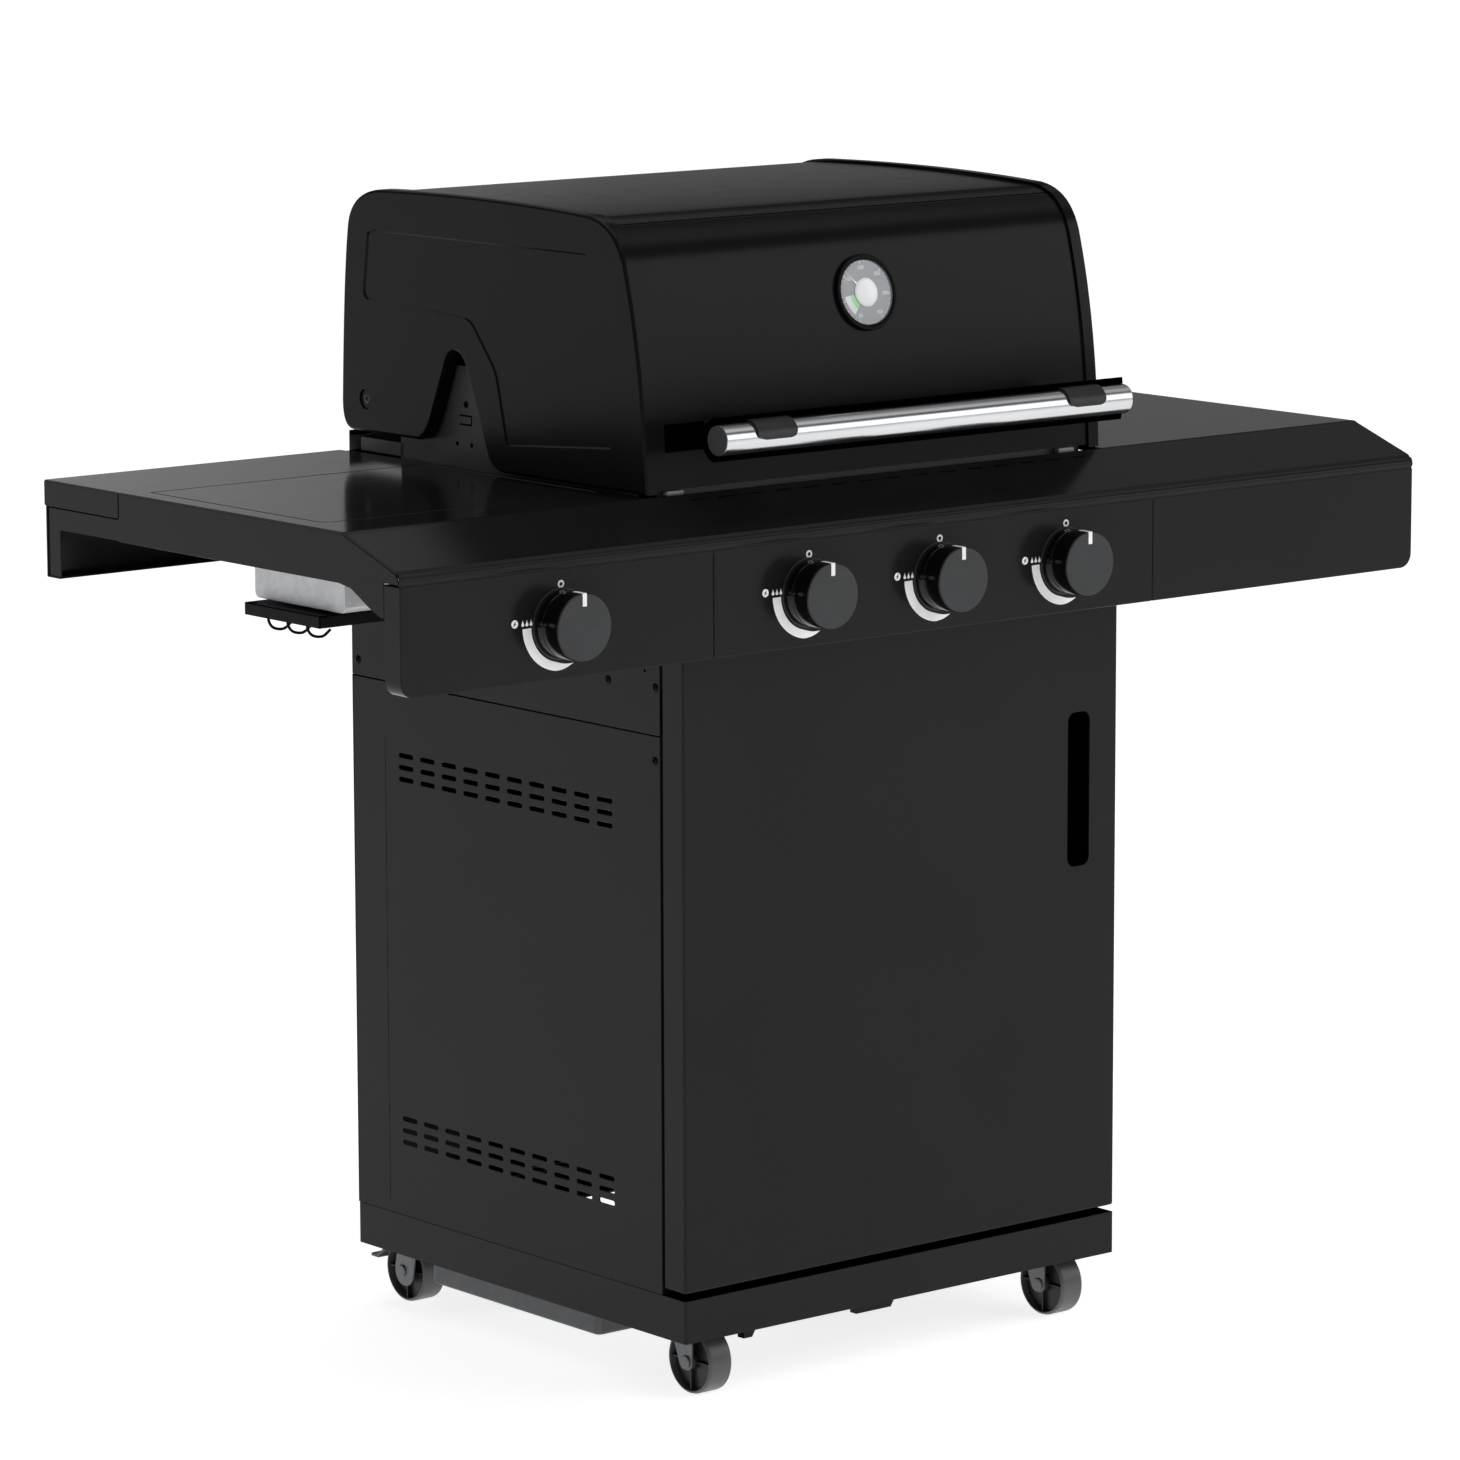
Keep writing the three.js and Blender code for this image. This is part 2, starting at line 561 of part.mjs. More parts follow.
// ---- lid ------------------------------------------------------------------------------------
// Side view of the lid, anticlockwise from the front of its lower edge.
const crown = (shape) => {
  shape.quadraticCurveTo(258, 1015, 250, 1062);
  shape.quadraticCurveTo(244, 1097, 190, 1098.5);
  shape.quadraticCurveTo(20, 1103.5, -118, 1095);
  shape.quadraticCurveTo(-163, 1090, -174, 1045);
  shape.quadraticCurveTo(-198, 960, -201.6, 846);
};
const capShape = new THREE.Shape();
capShape.moveTo(-201.6, 846);
capShape.lineTo(10, 846);
capShape.quadraticCurveTo(32, 846, 38, 870);
capShape.lineTo(66, 938);
capShape.quadraticCurveTo(72, 953, 84, 953);
capShape.quadraticCurveTo(94, 953, 99, 938);
capShape.lineTo(117, 896);
capShape.quadraticCurveTo(129, 865, 142, 865);
capShape.lineTo(246, 865);
capShape.quadraticCurveTo(262, 865, 262, 892);
crown(capShape);
const capOutline = capShape.getPoints(7).slice(0, -1);
const capWall = 1.8;
const hingePin = rodX(4, lidHinge.y, lidHinge.z, -lidHalf + 1, -fireboxHalf + 6, 16);
const lidCap = join(
  cut(
    alongX(new THREE.Shape(capOutline), -lidHalf, -lidHalf + lidCapWidth),
    alongX(new THREE.Shape(inset(capOutline, capWall)), -lidHalf + capWall, -lidHalf + lidCapWidth + 1),
  ),
  hingePin,
);
addBothSides('lid_cap', lidCap, materials.enamelBlack);

const skinShape = new THREE.Shape();
skinShape.moveTo(-201.6, 846);
skinShape.lineTo(261, 868);
skinShape.lineTo(262, 892);
crown(skinShape);
const skinOutline = skinShape.getPoints(10).slice(0, -1);
const skinHalf = lidHalf - lidCapWidth - gap;
const skinInset = 2.5;        // the end caps' rims stand this proud of the skin
const gaugeTilt = 0.22;       // lean of the lid's front at the thermometer
const gaugeCentre = { y: -180, z: 1010.5 };
const onGauge = (geometry) => geometry.rotateX(-gaugeTilt).translate(0, gaugeCentre.y, gaugeCentre.z);
add('lid_skin', cut(
  alongX(new THREE.Shape(inset(skinOutline, skinInset)), -skinHalf, skinHalf),
  alongX(new THREE.Shape(inset(skinOutline, skinInset + sheet)), -skinHalf - 1, skinHalf + 1),
  box(-skinHalf - 1, skinHalf + 1, -196, 256.5, 800, 880),
  onGauge(rodY(7, 0, 0, -20, 20, 16)),
), materials.enamelBlack);

// ---- lid handle -----------------------------------------------------------------------------
const handle = { y: -271.5, z: 900, radius: 14, half: 253.5, mountX: 191.5, mountHalf: 25 };
add('handle_tube', cut(
  rodX(handle.radius, handle.y, handle.z, -handle.half, handle.half, 28),
  rodX(handle.radius - 2, handle.y, handle.z, -handle.half - 1, handle.half + 1, 28),
), materials.steel);
const lidFaceAtHandle = -197.2;
const mount = cut(
  join(
    rodX(handle.radius + 3, handle.y, handle.z, -handle.mountX - handle.mountHalf,
      -handle.mountX + handle.mountHalf, 24),
    box(-handle.mountX - 18, -handle.mountX + 18, handle.y, lidFaceAtHandle, handle.z - 9, handle.z + 9),
  ),
  rodX(handle.radius + gap, handle.y, handle.z, -handle.mountX - 60, -handle.mountX + 60, 28),
);
addBothSides('handle_mount', mount, materials.plastic);

// ---- thermometer ----------------------------------------------------------------------------
const gaugeRadius = 36;
const gaugeFace = -1.9;       // the dial, behind the bezel's rim
const gaugeRim = -4.4;
const gaugeProfile = [[0, 42], [3, 40], [3, -0.4], [gaugeRadius - 2, -0.4], [gaugeRadius, -1.5],
  [gaugeRadius, gaugeRim + 1.2], [gaugeRadius - 1.5, gaugeRim], [gaugeRadius - 5, gaugeRim],
  [gaugeRadius - 5.5, gaugeFace], [0, gaugeFace]];
add('thermometer_case', onGauge(new THREE.LatheGeometry(
  gaugeProfile.map(([r, y]) => new THREE.Vector2(r, y)).reverse(), 28)), materials.steel);
const needleTurn = -0.85;
const needleHub = 13.5;
const needleBlade = outline([[-1.2, 0], [1.2, 0], [0.6, 28], [-0.6, 28]]);
add('thermometer_needle', onGauge(join(
  alongY(needleBlade, gaugeFace - 1.1, gaugeFace - 0.5),
  rodY(needleHub, 0, 0, gaugeFace - 1.7, gaugeFace - 0.4, 20),
).rotateY(needleTurn)), materials.needle);

// ---- casters --------------------------------------------------------------------------------
const forkInner = wheelWidth / 2 + 1;
const forkThick = 2.2;
const crownBottom = 2 * wheelRadius + 3;
// One caster about its swivel axis, trailing towards -Y.
const forkArm = alongX(outline([[-casterTrail - 4, wheelRadius - 5], [-casterTrail + 4, wheelRadius - 5],
  [8, crownBottom + 1], [-casterTrail - 8, crownBottom + 1]]), forkInner, forkInner + forkThick);
const fork = () => join(
  forkArm,
  mirrorX(forkArm),
  box(-forkInner - forkThick, forkInner + forkThick, -casterTrail - 8, 10, crownBottom, crownBottom + 3),
  rodZ(12, 0, 0, crownBottom + 2, crownBottom + 10, 20),
  rodZ(5, 0, 0, crownBottom + 2, floorBottom - gap, 12),
  rodX(3, -casterTrail, wheelRadius, -forkInner - forkThick - 2, forkInner + forkThick + 2, 12),
);
const rimInner = wheelRadius - 5.5;
const rimOuter = wheelRadius - 2.5;
const wheelProfile = [[3.4, -wheelWidth / 2], [rimInner, -wheelWidth / 2 + 3], [rimOuter, -wheelWidth / 2],
  [wheelRadius, -wheelWidth / 2 + 2.5], [wheelRadius, wheelWidth / 2 - 2.5], [rimOuter, wheelWidth / 2],
  [rimInner, wheelWidth / 2 - 3], [3.4, wheelWidth / 2], [3.4, -wheelWidth / 2]];
const wheel = () => new THREE.LatheGeometry(wheelProfile.map(([r, y]) => new THREE.Vector2(r, y)), 28)
  .rotateZ(-Math.PI / 2).translate(0, -casterTrail, wheelRadius);

// The brake lever: two cheeks outside the fork and a foot tab behind the wheel.
const brakeReach = brakeTip - (rearAxle - casterTrail);
const brakeTab = { z0: 38, z1: 41.5, y: -brakeReach + 11 };
const cheekInner = forkInner + forkThick + 2.6;
const cheekThick = 1.6;
const cheek = alongX(outline([[-casterTrail - 6, 50], [-casterTrail - 6, 56], [-casterTrail - 16, 56],
  [brakeTab.y - 2, brakeTab.z1 + 1], [brakeTab.y - 2, brakeTab.z0], [-casterTrail - 18, 52]]), cheekInner,
cheekInner + cheekThick);
const brake = () => join(
  cheek,
  mirrorX(cheek),
  box(-cheekInner - cheekThick, cheekInner + cheekThick, -brakeReach, brakeTab.y, brakeTab.z0, brakeTab.z1),
);

const casters = [
  { name: 'front_left', x: -casterX, y: frontAxle + casterTrail, turn: 0, brake: false },
  { name: 'front_right', x: casterX, y: frontAxle + casterTrail, turn: 0, brake: false },
  { name: 'rear_left', x: -casterX, y: rearAxle - casterTrail, turn: Math.PI, brake: true },
  { name: 'rear_right', x: casterX, y: rearAxle - casterTrail, turn: Math.PI, brake: true },
];
for (const caster of casters) {
  const place = (geometry) => geometry.rotateZ(caster.turn).translate(caster.x, caster.y, 0);
  add(`caster_fork_${caster.name}`, place(fork()), materials.galvanised);
  add(`caster_wheel_${caster.name}`, place(wheel()), materials.tyre);
  if (caster.brake) add(`brake_lever_${caster.name}`, place(brake()), materials.greySteel);
}

// The knob faces and the brake tabs are the front and back of the bounding box.
grill.position.y = -(knobFace + brakeTip) / 2;

export default grill;
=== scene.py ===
"""A gas barbecue grill on a cabinet cart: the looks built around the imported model.

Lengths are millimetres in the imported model's own frame (+X along the worktops, -Y towards the
user, +Z up) and become metres when a piece is finished.
"""

import json
import math

import bmesh
import bpy
from mathutils import Matrix, Vector


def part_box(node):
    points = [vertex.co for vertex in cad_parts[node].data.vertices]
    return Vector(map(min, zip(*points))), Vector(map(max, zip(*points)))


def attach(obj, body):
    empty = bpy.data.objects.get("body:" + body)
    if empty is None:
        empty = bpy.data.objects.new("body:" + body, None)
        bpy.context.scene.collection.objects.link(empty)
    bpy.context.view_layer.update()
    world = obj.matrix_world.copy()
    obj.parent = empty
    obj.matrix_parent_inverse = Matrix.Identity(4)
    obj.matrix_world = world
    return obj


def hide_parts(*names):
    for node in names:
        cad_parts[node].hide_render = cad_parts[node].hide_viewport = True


MM = 0.001
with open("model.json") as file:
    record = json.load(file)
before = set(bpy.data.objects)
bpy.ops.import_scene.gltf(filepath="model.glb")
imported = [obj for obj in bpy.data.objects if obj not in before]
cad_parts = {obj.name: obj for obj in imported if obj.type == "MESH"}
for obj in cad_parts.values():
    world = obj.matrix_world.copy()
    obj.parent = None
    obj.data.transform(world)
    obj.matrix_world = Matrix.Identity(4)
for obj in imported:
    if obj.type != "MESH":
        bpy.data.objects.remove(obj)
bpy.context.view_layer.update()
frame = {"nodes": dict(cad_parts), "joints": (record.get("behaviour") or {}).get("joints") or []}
scene = bpy.context.scene
JOINTS = {joint["name"]: joint for joint in frame["joints"]}
SIDES = (("left", -1), ("right", 1))


def corners(node):
    """Lowest and highest corner of a CAD node, in millimetres."""
    low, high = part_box(node)
    return low / MM, high / MM


def pivot(joint):
    """The point that a joint turns about, in millimetres."""
    return Vector(JOINTS[joint]["pos_m"]) / MM


# ---- materials ----
NOISE_LOW, NOISE_HIGH = 0.3, 0.7
TONE_STOPS = (0.35, 0.65)


def connect(tree, node, inputs):
    """Gives each named input of a node a value, or a link from another node's output."""
    for name, value in inputs.items():
        if isinstance(value, bpy.types.NodeSocket):
            tree.links.new(value, node.inputs[name])
        else:
            node.inputs[name].default_value = value


def add_node(tree, kind, inputs=None):
    node = tree.nodes.new("ShaderNode" + kind)
    connect(tree, node, inputs or {})
    return node


def principled(name, color, roughness, metallic=0.0, specular=0.5, alpha=1.0):
    material = bpy.data.materials.new(name)
    material.use_nodes = True
    tree = material.node_tree
    shader = tree.nodes["Principled BSDF"]
    connect(tree, shader, {"Base Color": (*color, 1), "Roughness": roughness, "Metallic": metallic,
                           "Specular IOR Level": specular, "Alpha": alpha})
    return material, tree, shader


def noise(tree, scale, detail=2.0, stretch=(1, 1, 1)):
    """Three-dimensional noise over the piece, in features per metre along each axis."""
    coordinates = add_node(tree, "TexCoord").outputs["Object"]
    mapping = add_node(tree, "Mapping", {"Vector": coordinates, "Scale": stretch})
    inputs = {"Vector": mapping.outputs["Vector"], "Scale": scale, "Detail": detail}
    return add_node(tree, "TexNoise", inputs).outputs["Fac"]


def map_range(tree, value, start, end, low, high):
    inputs = {"Value": value, "From Min": start, "From Max": end, "To Min": low, "To Max": high}
    return add_node(tree, "MapRange", inputs).outputs["Result"]


def color_ramp(tree, value, stops):
    ramp = add_node(tree, "ValToRGB", {"Fac": value})
    elements = ramp.color_ramp.elements
    while len(elements) < len(stops):
        elements.new(0.5)
    for element, (position, color) in zip(elements, stops):
        element.position = position
        element.color = (*color, 1)
    return ramp.outputs["Color"]


def vary(tree, shader, tone, color, tones, gloss, roughness, drift):
    """Varies the tone by one noise, as factors of the colour, and the roughness by another."""
    stops = [(stop, [channel * factor for channel in color]) for stop, factor in zip(TONE_STOPS, tones)]
    rough = map_range(tree, gloss, NOISE_LOW, NOISE_HIGH, roughness - drift[0], roughness + drift[1])
    connect(tree, shader, {"Base Color": color_ramp(tree, tone, stops), "Roughness": rough})


def emboss(tree, shader, height, distance):
    bump = add_node(tree, "Bump", {"Height": height, "Strength": 1.0, "Distance": distance})
    tree.links.new(bump.outputs["Normal"], shader.inputs["Normal"])


def coated(name, color, roughness, specular, grain=900, grain_depth=0.00003):
    """Sprayed and baked paint: fine orange peel, and a slow drift of tone and gloss."""
    material, tree, shader = principled(name, color, roughness, specular=specular)
    vary(tree, shader, noise(tree, 6), color, (0.95, 1.05), noise(tree, 40, 4.0), roughness, (0.008, 0.012))
    emboss(tree, shader, noise(tree, grain, 1.0), grain_depth)
    return material


def brushed(name, color, roughness, stretch, depth=0.000008):
    """Metal brushed along the axis whose stretch is small."""
    material, tree, shader = principled(name, color, roughness, metallic=1.0)
    lines = noise(tree, 60, 4.0, stretch)
    vary(tree, shader, lines, color, (0.93, 1.04), lines, roughness, (0.07, 0.07))
    emboss(tree, shader, lines, depth)
    return material


def sheet_metal(name, color, roughness, metallic=0.85):
    """Zinc-coated sheet with a faint spangle."""
    material, tree, shader = principled(name, color, roughness, metallic=metallic)
    coordinates = add_node(tree, "TexCoord").outputs["Object"]
    spangle = add_node(tree, "TexVoronoi", {"Vector": coordinates, "Scale": 160})
    split = add_node(tree, "SeparateColor", {"Color": spangle.outputs["Color"]}).outputs
    vary(tree, shader, split["Red"], color, (0.97, 1.03), split["Green"], roughness, (0.03, 0.03))
    return material


def rough_cast(name, color, roughness):
    material, tree, shader = principled(name, color, roughness, specular=0.4)
    vary(tree, shader, noise(tree, 55, 5.0), color, (0.75, 1.3), noise(tree, 120, 3.0), roughness,
         (0.08, 0.08))
    emboss(tree, shader, noise(tree, 700, 3.0), 0.00012)
    return material


def moulded(name, color, roughness, specular=0.4, grain_depth=0.00002):
    """Moulded plastic or rubber with a fine texture."""
    material, tree, shader = principled(name, color, roughness, specular=specular)
    vary(tree, shader, noise(tree, 30), color, (0.9, 1.1), noise(tree, 90, 3.0), roughness, (0.04, 0.05))
    emboss(tree, shader, noise(tree, 1600, 1.0), grain_depth)
    return material


# Each finish is a material and the record's slot that it belongs to.
SMOOTH = 0.000003
SATIN = 0.000008
BODY = (0.0118, 0.0123, 0.0128)
FINISHES = {
    "powder": (coated("powder_coat", BODY, 0.19, 0.11, 1100, SATIN), "body_paint"),
    "base_powder": (coated("base_coat", BODY, 0.24, 0.12, 1100, SATIN), "body_paint"),
    "table": (coated("worktop_coat", (0.0110, 0.0115, 0.0125), 0.12, 0.2, 1100, SMOOTH), "table_paint"),
    "enamel": (coated("hood_enamel", (0.0060, 0.0063, 0.0062), 0.2, 0.09, 1300, SMOOTH), "lid_enamel"),
    # recess: near-black painted shade for holes, slots, gaps and shadow lines; the knobs' black spark print
    # and the hood stops use it too.
    "recess": (moulded("shadow_black", (0.0006, 0.0006, 0.0006), 0.85, 0.02), "black_plastic"),
    "steel": (brushed("brushed_stainless", (0.60, 0.61, 0.62), 0.2, (0.04, 1, 1)), "stainless"),
    "steel_y": (brushed("drawn_stainless", (0.66, 0.66, 0.67), 0.3, (1, 0.04, 1)), "stainless"),
    "zinc": (sheet_metal("zinc_sheet", (0.60, 0.61, 0.63), 0.45, 0.5), "galvanised"),
    "dull_zinc": (sheet_metal("dull_zinc", (0.088, 0.092, 0.096), 0.5, 0.4), "galvanised"),
    "fork_zinc": (sheet_metal("fork_zinc", (0.14, 0.145, 0.15), 0.42, 0.5), "galvanised"),
    "firebox": (coated("heat_coat", (0.12, 0.12, 0.118), 0.5, 0.3), "firebox_steel"),
    "iron": (rough_cast("enamelled_iron", (0.016, 0.016, 0.016), 0.5), "cast_iron"),
    "plastic": (moulded("black_plastic", (0.018, 0.018, 0.0185), 0.36, 0.3), "black_plastic"),
    "gloss": (moulded("gloss_black", (0.003, 0.003, 0.003), 0.12, 0.3, SMOOTH), "black_plastic"),
    "screw": (moulded("screw_black", (0.0025, 0.0025, 0.0025), 0.4, 0.08), "black_plastic"),
    "knob_face": (moulded("knob_face", (0.024, 0.0255, 0.027), 0.45), "black_plastic"),
    "tube_cap": (moulded("tube_cap", (0.042, 0.043, 0.046), 0.4), "black_plastic"),
    "tread": (moulded("hard_tread", (0.075, 0.077, 0.080), 0.38, 0.5), "wheel_plastic"),
    "wheel_disc": (moulded("wheel_disc", (0.014, 0.014, 0.015), 0.42), "wheel_plastic"),
    "brass": (brushed("turned_brass", (0.50, 0.36, 0.16), 0.34, (1, 1, 1)), "brass"),
    "print": (moulded("white_print", (0.98, 0.98, 0.98), 0.5, 0.2, SMOOTH), "white_print"),
    "print_green": (moulded("green_print", (0.42, 0.85, 0.38), 0.5, 0.2, SMOOTH), "white_print"),
    "dial": (coated("dial_print", (0.36, 0.37, 0.39), 0.45, 0.3), "dial_grey"),
    # hub: the pointer's white, and on the hub a painted reflection of a shiny dome.
    "hub": (moulded("needle_white_and_hub_glint", (0.98, 0.98, 0.98), 0.2, 0.5, SMOOTH), "white_print"),
    "pad": (moulded("grey_pad", (0.30, 0.30, 0.29), 0.6), "white_print"),
    "glass": (principled("dial_glass", (0.9, 0.93, 0.95), 0.04, alpha=0.08)[0], "clear_glass"),
}
# The recess finish is painted shade, near-black like a shadow gap. A shadow gap gives no glancing
# reflection.
FINISHES["recess"][0].node_tree.nodes["Principled BSDF"].inputs["IOR"].default_value = 1.0


# ---- outlines ----
def rounded(points, steps=6):
    """Corner points (u, v, radius) as a closed outline with each corner rounded."""
    loop = []
    for i, (u, v, radius) in enumerate(points):
        corner = Vector((u, v))
        if radius <= 0:
            loop.append(corner)
            continue
        before = (Vector(points[i - 1][:2]) - corner).normalized()
        after = (Vector(points[(i + 1) % len(points)][:2]) - corner).normalized()
        half = before.angle(after) / 2
        middle = corner + (before + after).normalized() * radius / math.sin(half)
        reach = radius / math.tan(half)
        start = corner + before * reach - middle
        end = corner + after * reach - middle
        turn = start.angle_signed(end)
        for k in range(steps + 1):
            loop.append(middle + Matrix.Rotation(-turn * k / steps, 2) @ start)
    return loop


def rectangle(u0, u1, v0, v1, radius=0.0, steps=5):
    return rounded([(u0, v0, radius), (u1, v0, radius), (u1, v1, radius), (u0, v1, radius)], steps)


def turns(sides):
    """The cosine and sine of each step of a full turn."""
    return [(math.cos(2 * math.pi * k / sides), math.sin(2 * math.pi * k / sides)) for k in range(sides)]


def circle(u, v, radius, sides=24):
    return [Vector((u + radius * c, v + radius * s)) for c, s in turns(sides)]


def inset(loop, distance):
    """A closed outline moved inwards, or outwards when the distance is negative."""
    pairs = list(zip(loop, loop[1:] + loop[:1]))
    turn = 1 if sum(a.x * b.y - b.x * a.y for a, b in pairs) > 0 else -1
    moved = []
    for before, point, after in zip(loop[-1:] + loop[:-1], loop, loop[1:] + loop[:1]):
        arriving = (point - before).normalized()
        leaving = (after - point).normalized()
        first = Vector((-arriving.y, arriving.x)) * turn
        second = Vector((-leaving.y, leaving.x)) * turn
        moved.append(point + (first + second) * (distance / max(0.3, 1 + first.dot(second))))
    return moved


def trace(start, *moves):
    """An open outline; a move is an end point, or a control point, an end point and the steps to it."""
    points = [Vector(start)]
    for move in moves:
        if len(move) == 2:
            points.append(Vector(move))
            continue
        begin = points[-1]
        control, end, steps = Vector(move[0]), Vector(move[1]), move[2]
        for k in range(1, steps + 1):
            t = k / steps
            points.append(begin * (1 - t) ** 2 + control * 2 * t * (1 - t) + end * t ** 2)
    return points


def edge_steps(radius, steps):
    """(inset, depth) pairs that round an edge, from the face to the side."""
    angles = [math.pi / 2 * k / steps for k in range(steps + 1)]
    return [(radius * (1 - math.sin(angle)), radius * (1 - math.cos(angle))) for angle in angles]


# ---- solids ----
def ring(bm, axis, along, loop):
    """Vertices round an outline that lies across an axis, at a distance along it."""
    order = {"x": (2, 0, 1), "y": (0, 2, 1), "z": (0, 1, 2)}[axis]
    points = [(point.x, point.y, along) for point in map(Vector, loop)]
    return [bm.verts.new([point[i] for i in order]) for point in points]


def bridge(bm, *rings):
    """Joins each ring of vertices to the next."""
    for first, second in zip(rings, rings[1:]):
        for i, vert in enumerate(first):
            j = (i + 1) % len(first)
            bm.faces.new((vert, first[j], second[j], second[i]))


def cover(bm, outer, holes=()):
    """Closes a flat ring of vertices, leaving the holes open."""
    if not holes:
        bm.faces.new(outer)
        return
    edges = []
    for verts in (outer, *holes):
        for vert, following in zip(verts, verts[1:] + verts[:1]):
            edges.append(bm.edges.get((vert, following)) or bm.edges.new((vert, following)))
    bmesh.ops.triangle_fill(bm, use_beauty=True, edges=edges)


def slab(bm, axis, start, end, loop, edge=0.5, steps=2, holes=()):
    """A plate between two distances along an axis, with rounded edges all round and in its holes."""
    low, high = sorted((start, end))
    pairs = edge_steps(edge, steps)
    levels = [(low + depth, inward) for inward, depth in pairs]
    levels += [(high - depth, inward) for inward, depth in reversed(pairs)]
    stacks = []
    for outline, side in [(loop, 1)] + [(hole, -1) for hole in holes]:
        outline = [Vector(point) for point in outline]
        stacks.append([ring(bm, axis, along, inset(outline, side * inward)) for along, inward in levels])
        bridge(bm, *stacks[-1])
    for level in (0, -1):
        cover(bm, stacks[0][level], [stack[level] for stack in stacks[1:]])


def shell(bm, axis, face, rim, loop, wall=1.5, radius=2.5, steps=4, holes=()):
    """A folded pan, closed at the face and open at the rim, with its bend rounded."""
    side = 1 if rim > face else -1
    inner = max(radius - wall, 0.3)
    outside = [(face + side * depth, inward) for inward, depth in edge_steps(radius, steps)]
    inside = [(face + side * (wall + depth), wall + inward) for inward, depth in edge_steps(inner, 2)]
    levels = outside + [(rim, 0.2), (rim, wall - 0.2)] + inside[::-1]
    stack = [ring(bm, axis, along, inset(loop, inward)) for along, inward in levels]
    bridge(bm, *stack)
    front = [ring(bm, axis, face, hole) for hole in holes]
    back = [ring(bm, axis, face + side * wall, hole) for hole in holes]
    for first, second in zip(front, back):
        bridge(bm, first, second)
    cover(bm, stack[0], front)
    cover(bm, stack[-1], back)


def box(bm, first, second, radius=1.0, steps=3):
    """A box between two opposite corners, with rounded edges."""
    x, y, z = [sorted(pair) for pair in zip(first, second)]
    slab(bm, "z", *z, rectangle(*x, *y, radius, steps), radius * 0.98, steps)


def lathe(bm, profile, sides, matrix):
    """Turns (radius, height) pairs about the matrix's Z axis; ends on the axis are closed."""
    rings = []
    for radius, height in profile:
        places = [(0, 0)] if radius < 1e-6 else [(radius * c, radius * s) for c, s in turns(sides)]
        rings.append([bm.verts.new(matrix @ Vector((*place, height))) for place in places])
    for first, second in zip(rings, rings[1:]):
        for k in range(sides):
            j = (k + 1) % sides
            quad = [first[k % len(first)], first[j % len(first)],
                    second[j % len(second)], second[k % len(second)]]
            distinct = list(dict.fromkeys(quad))
            if len(distinct) > 2:
                bm.faces.new(distinct)


def facing(point, normal, up=(0, 0, 1)):
    """A matrix whose Z axis is the normal and whose Y axis is as near up as it can be."""
    z = Vector(normal).normalized()
    x = Vector(up).cross(z).normalized()
    rotation = Matrix((x, z.cross(x), z)).transposed().to_4x4()
    return Matrix.Translation(Vector(point)) @ rotation


def lying(point):
    """A matrix at a point, with its Z axis along X."""
    return Matrix.Translation(point) @ Matrix.Rotation(math.pi / 2, 4, "Y")


def rod(bm, points, radius, sides=10):
    """A round wire along a path."""
    path = [Vector(p) for p in points]
    across = (path[1] - path[0]).normalized().orthogonal().normalized()
    stack = []
    for i, point in enumerate(path):
        tangent = (path[min(i + 1, len(path) - 1)] - path[max(i - 1, 0)]).normalized()
        across = (across - tangent * across.dot(tangent)).normalized()
        other = tangent.cross(across)
        stack.append([bm.verts.new(point + radius * (across * c + other * s)) for c, s in turns(sides)])
    bridge(bm, *stack)
    cover(bm, stack[0])
    cover(bm, stack[-1])


def smooth_path(points, steps=6):
    """A Catmull-Rom curve through the points."""
    knots = [Vector(p) for p in points]
    knots = [knots[0] * 2 - knots[1]] + knots + [knots[-1] * 2 - knots[-2]]
    path = []
    for a, b, c, d in zip(knots, knots[1:], knots[2:], knots[3:]):
        for k in range(steps):
            t = k / steps
            path.append(0.5 * (b * 2 + (c - a) * t + (a * 2 - b * 5 + c * 4 - d) * t ** 2
                               + (b * 3 - a - c * 3 + d) * t ** 3))
    path.append(knots[-2])
    return path


# ---- pieces ----
SHARP_ANGLE = math.radians(38)


def piece(name, bm, finish, body, replaces=(), transform=None):
    """Turns a bmesh into a finished piece that rides on a body."""
    bmesh.ops.recalc_face_normals(bm, faces=bm.faces)
    mesh = bpy.data.meshes.new(name)
    bm.to_mesh(mesh)
    bm.free()
    if transform is not None:
        mesh.transform(transform)
    mesh.transform(Matrix.Scale(MM, 4))
    mesh.polygons.foreach_set("use_smooth", [True] * len(mesh.polygons))
    mesh.set_sharp_from_angle(angle=SHARP_ANGLE)
    material, slot = FINISHES[finish]
    mesh.materials.append(material)
    obj = bpy.data.objects.new(name, mesh)
    scene.collection.objects.link(obj)
    obj.modifiers.new("normals", "WEIGHTED_NORMAL").keep_sharp = True
    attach(obj, body)
    if replaces:
        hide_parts(*replaces)
    return obj


def single(name, finish, body, shape, *measures, replaces=(), transform=None):
    """A piece that is one solid: the shape is slab, shell, box, lathe or tube_patch."""
    bm = bmesh.new()
    shape(bm, *measures)
    piece(name, bm, finish, body, replaces, transform)


def dress(finish, *nodes):
    """Gives CAD nodes that stay on show their finished material."""
    for node in nodes:
        for slot in frame["nodes"][node].material_slots:
            slot.material = FINISHES[finish][0]


def screws(name, places, normal, finish, body, head=4.2, height=1.6):
    """Pan-head screws with a driver recess, standing on a face."""
    bm = bmesh.new()
    profile = [(0, 0.35 * height), (0.36 * head, 0.35 * height), (0.4 * head, height),
               (0.72 * head, 0.88 * height), (0.93 * head, 0.55 * height), (head, 0.15 * height),
               (head, -0.1), (0, -0.1)]
    for point in places:
        lathe(bm, profile, 18, facing(point, normal))
    piece(name, bm, finish, body)


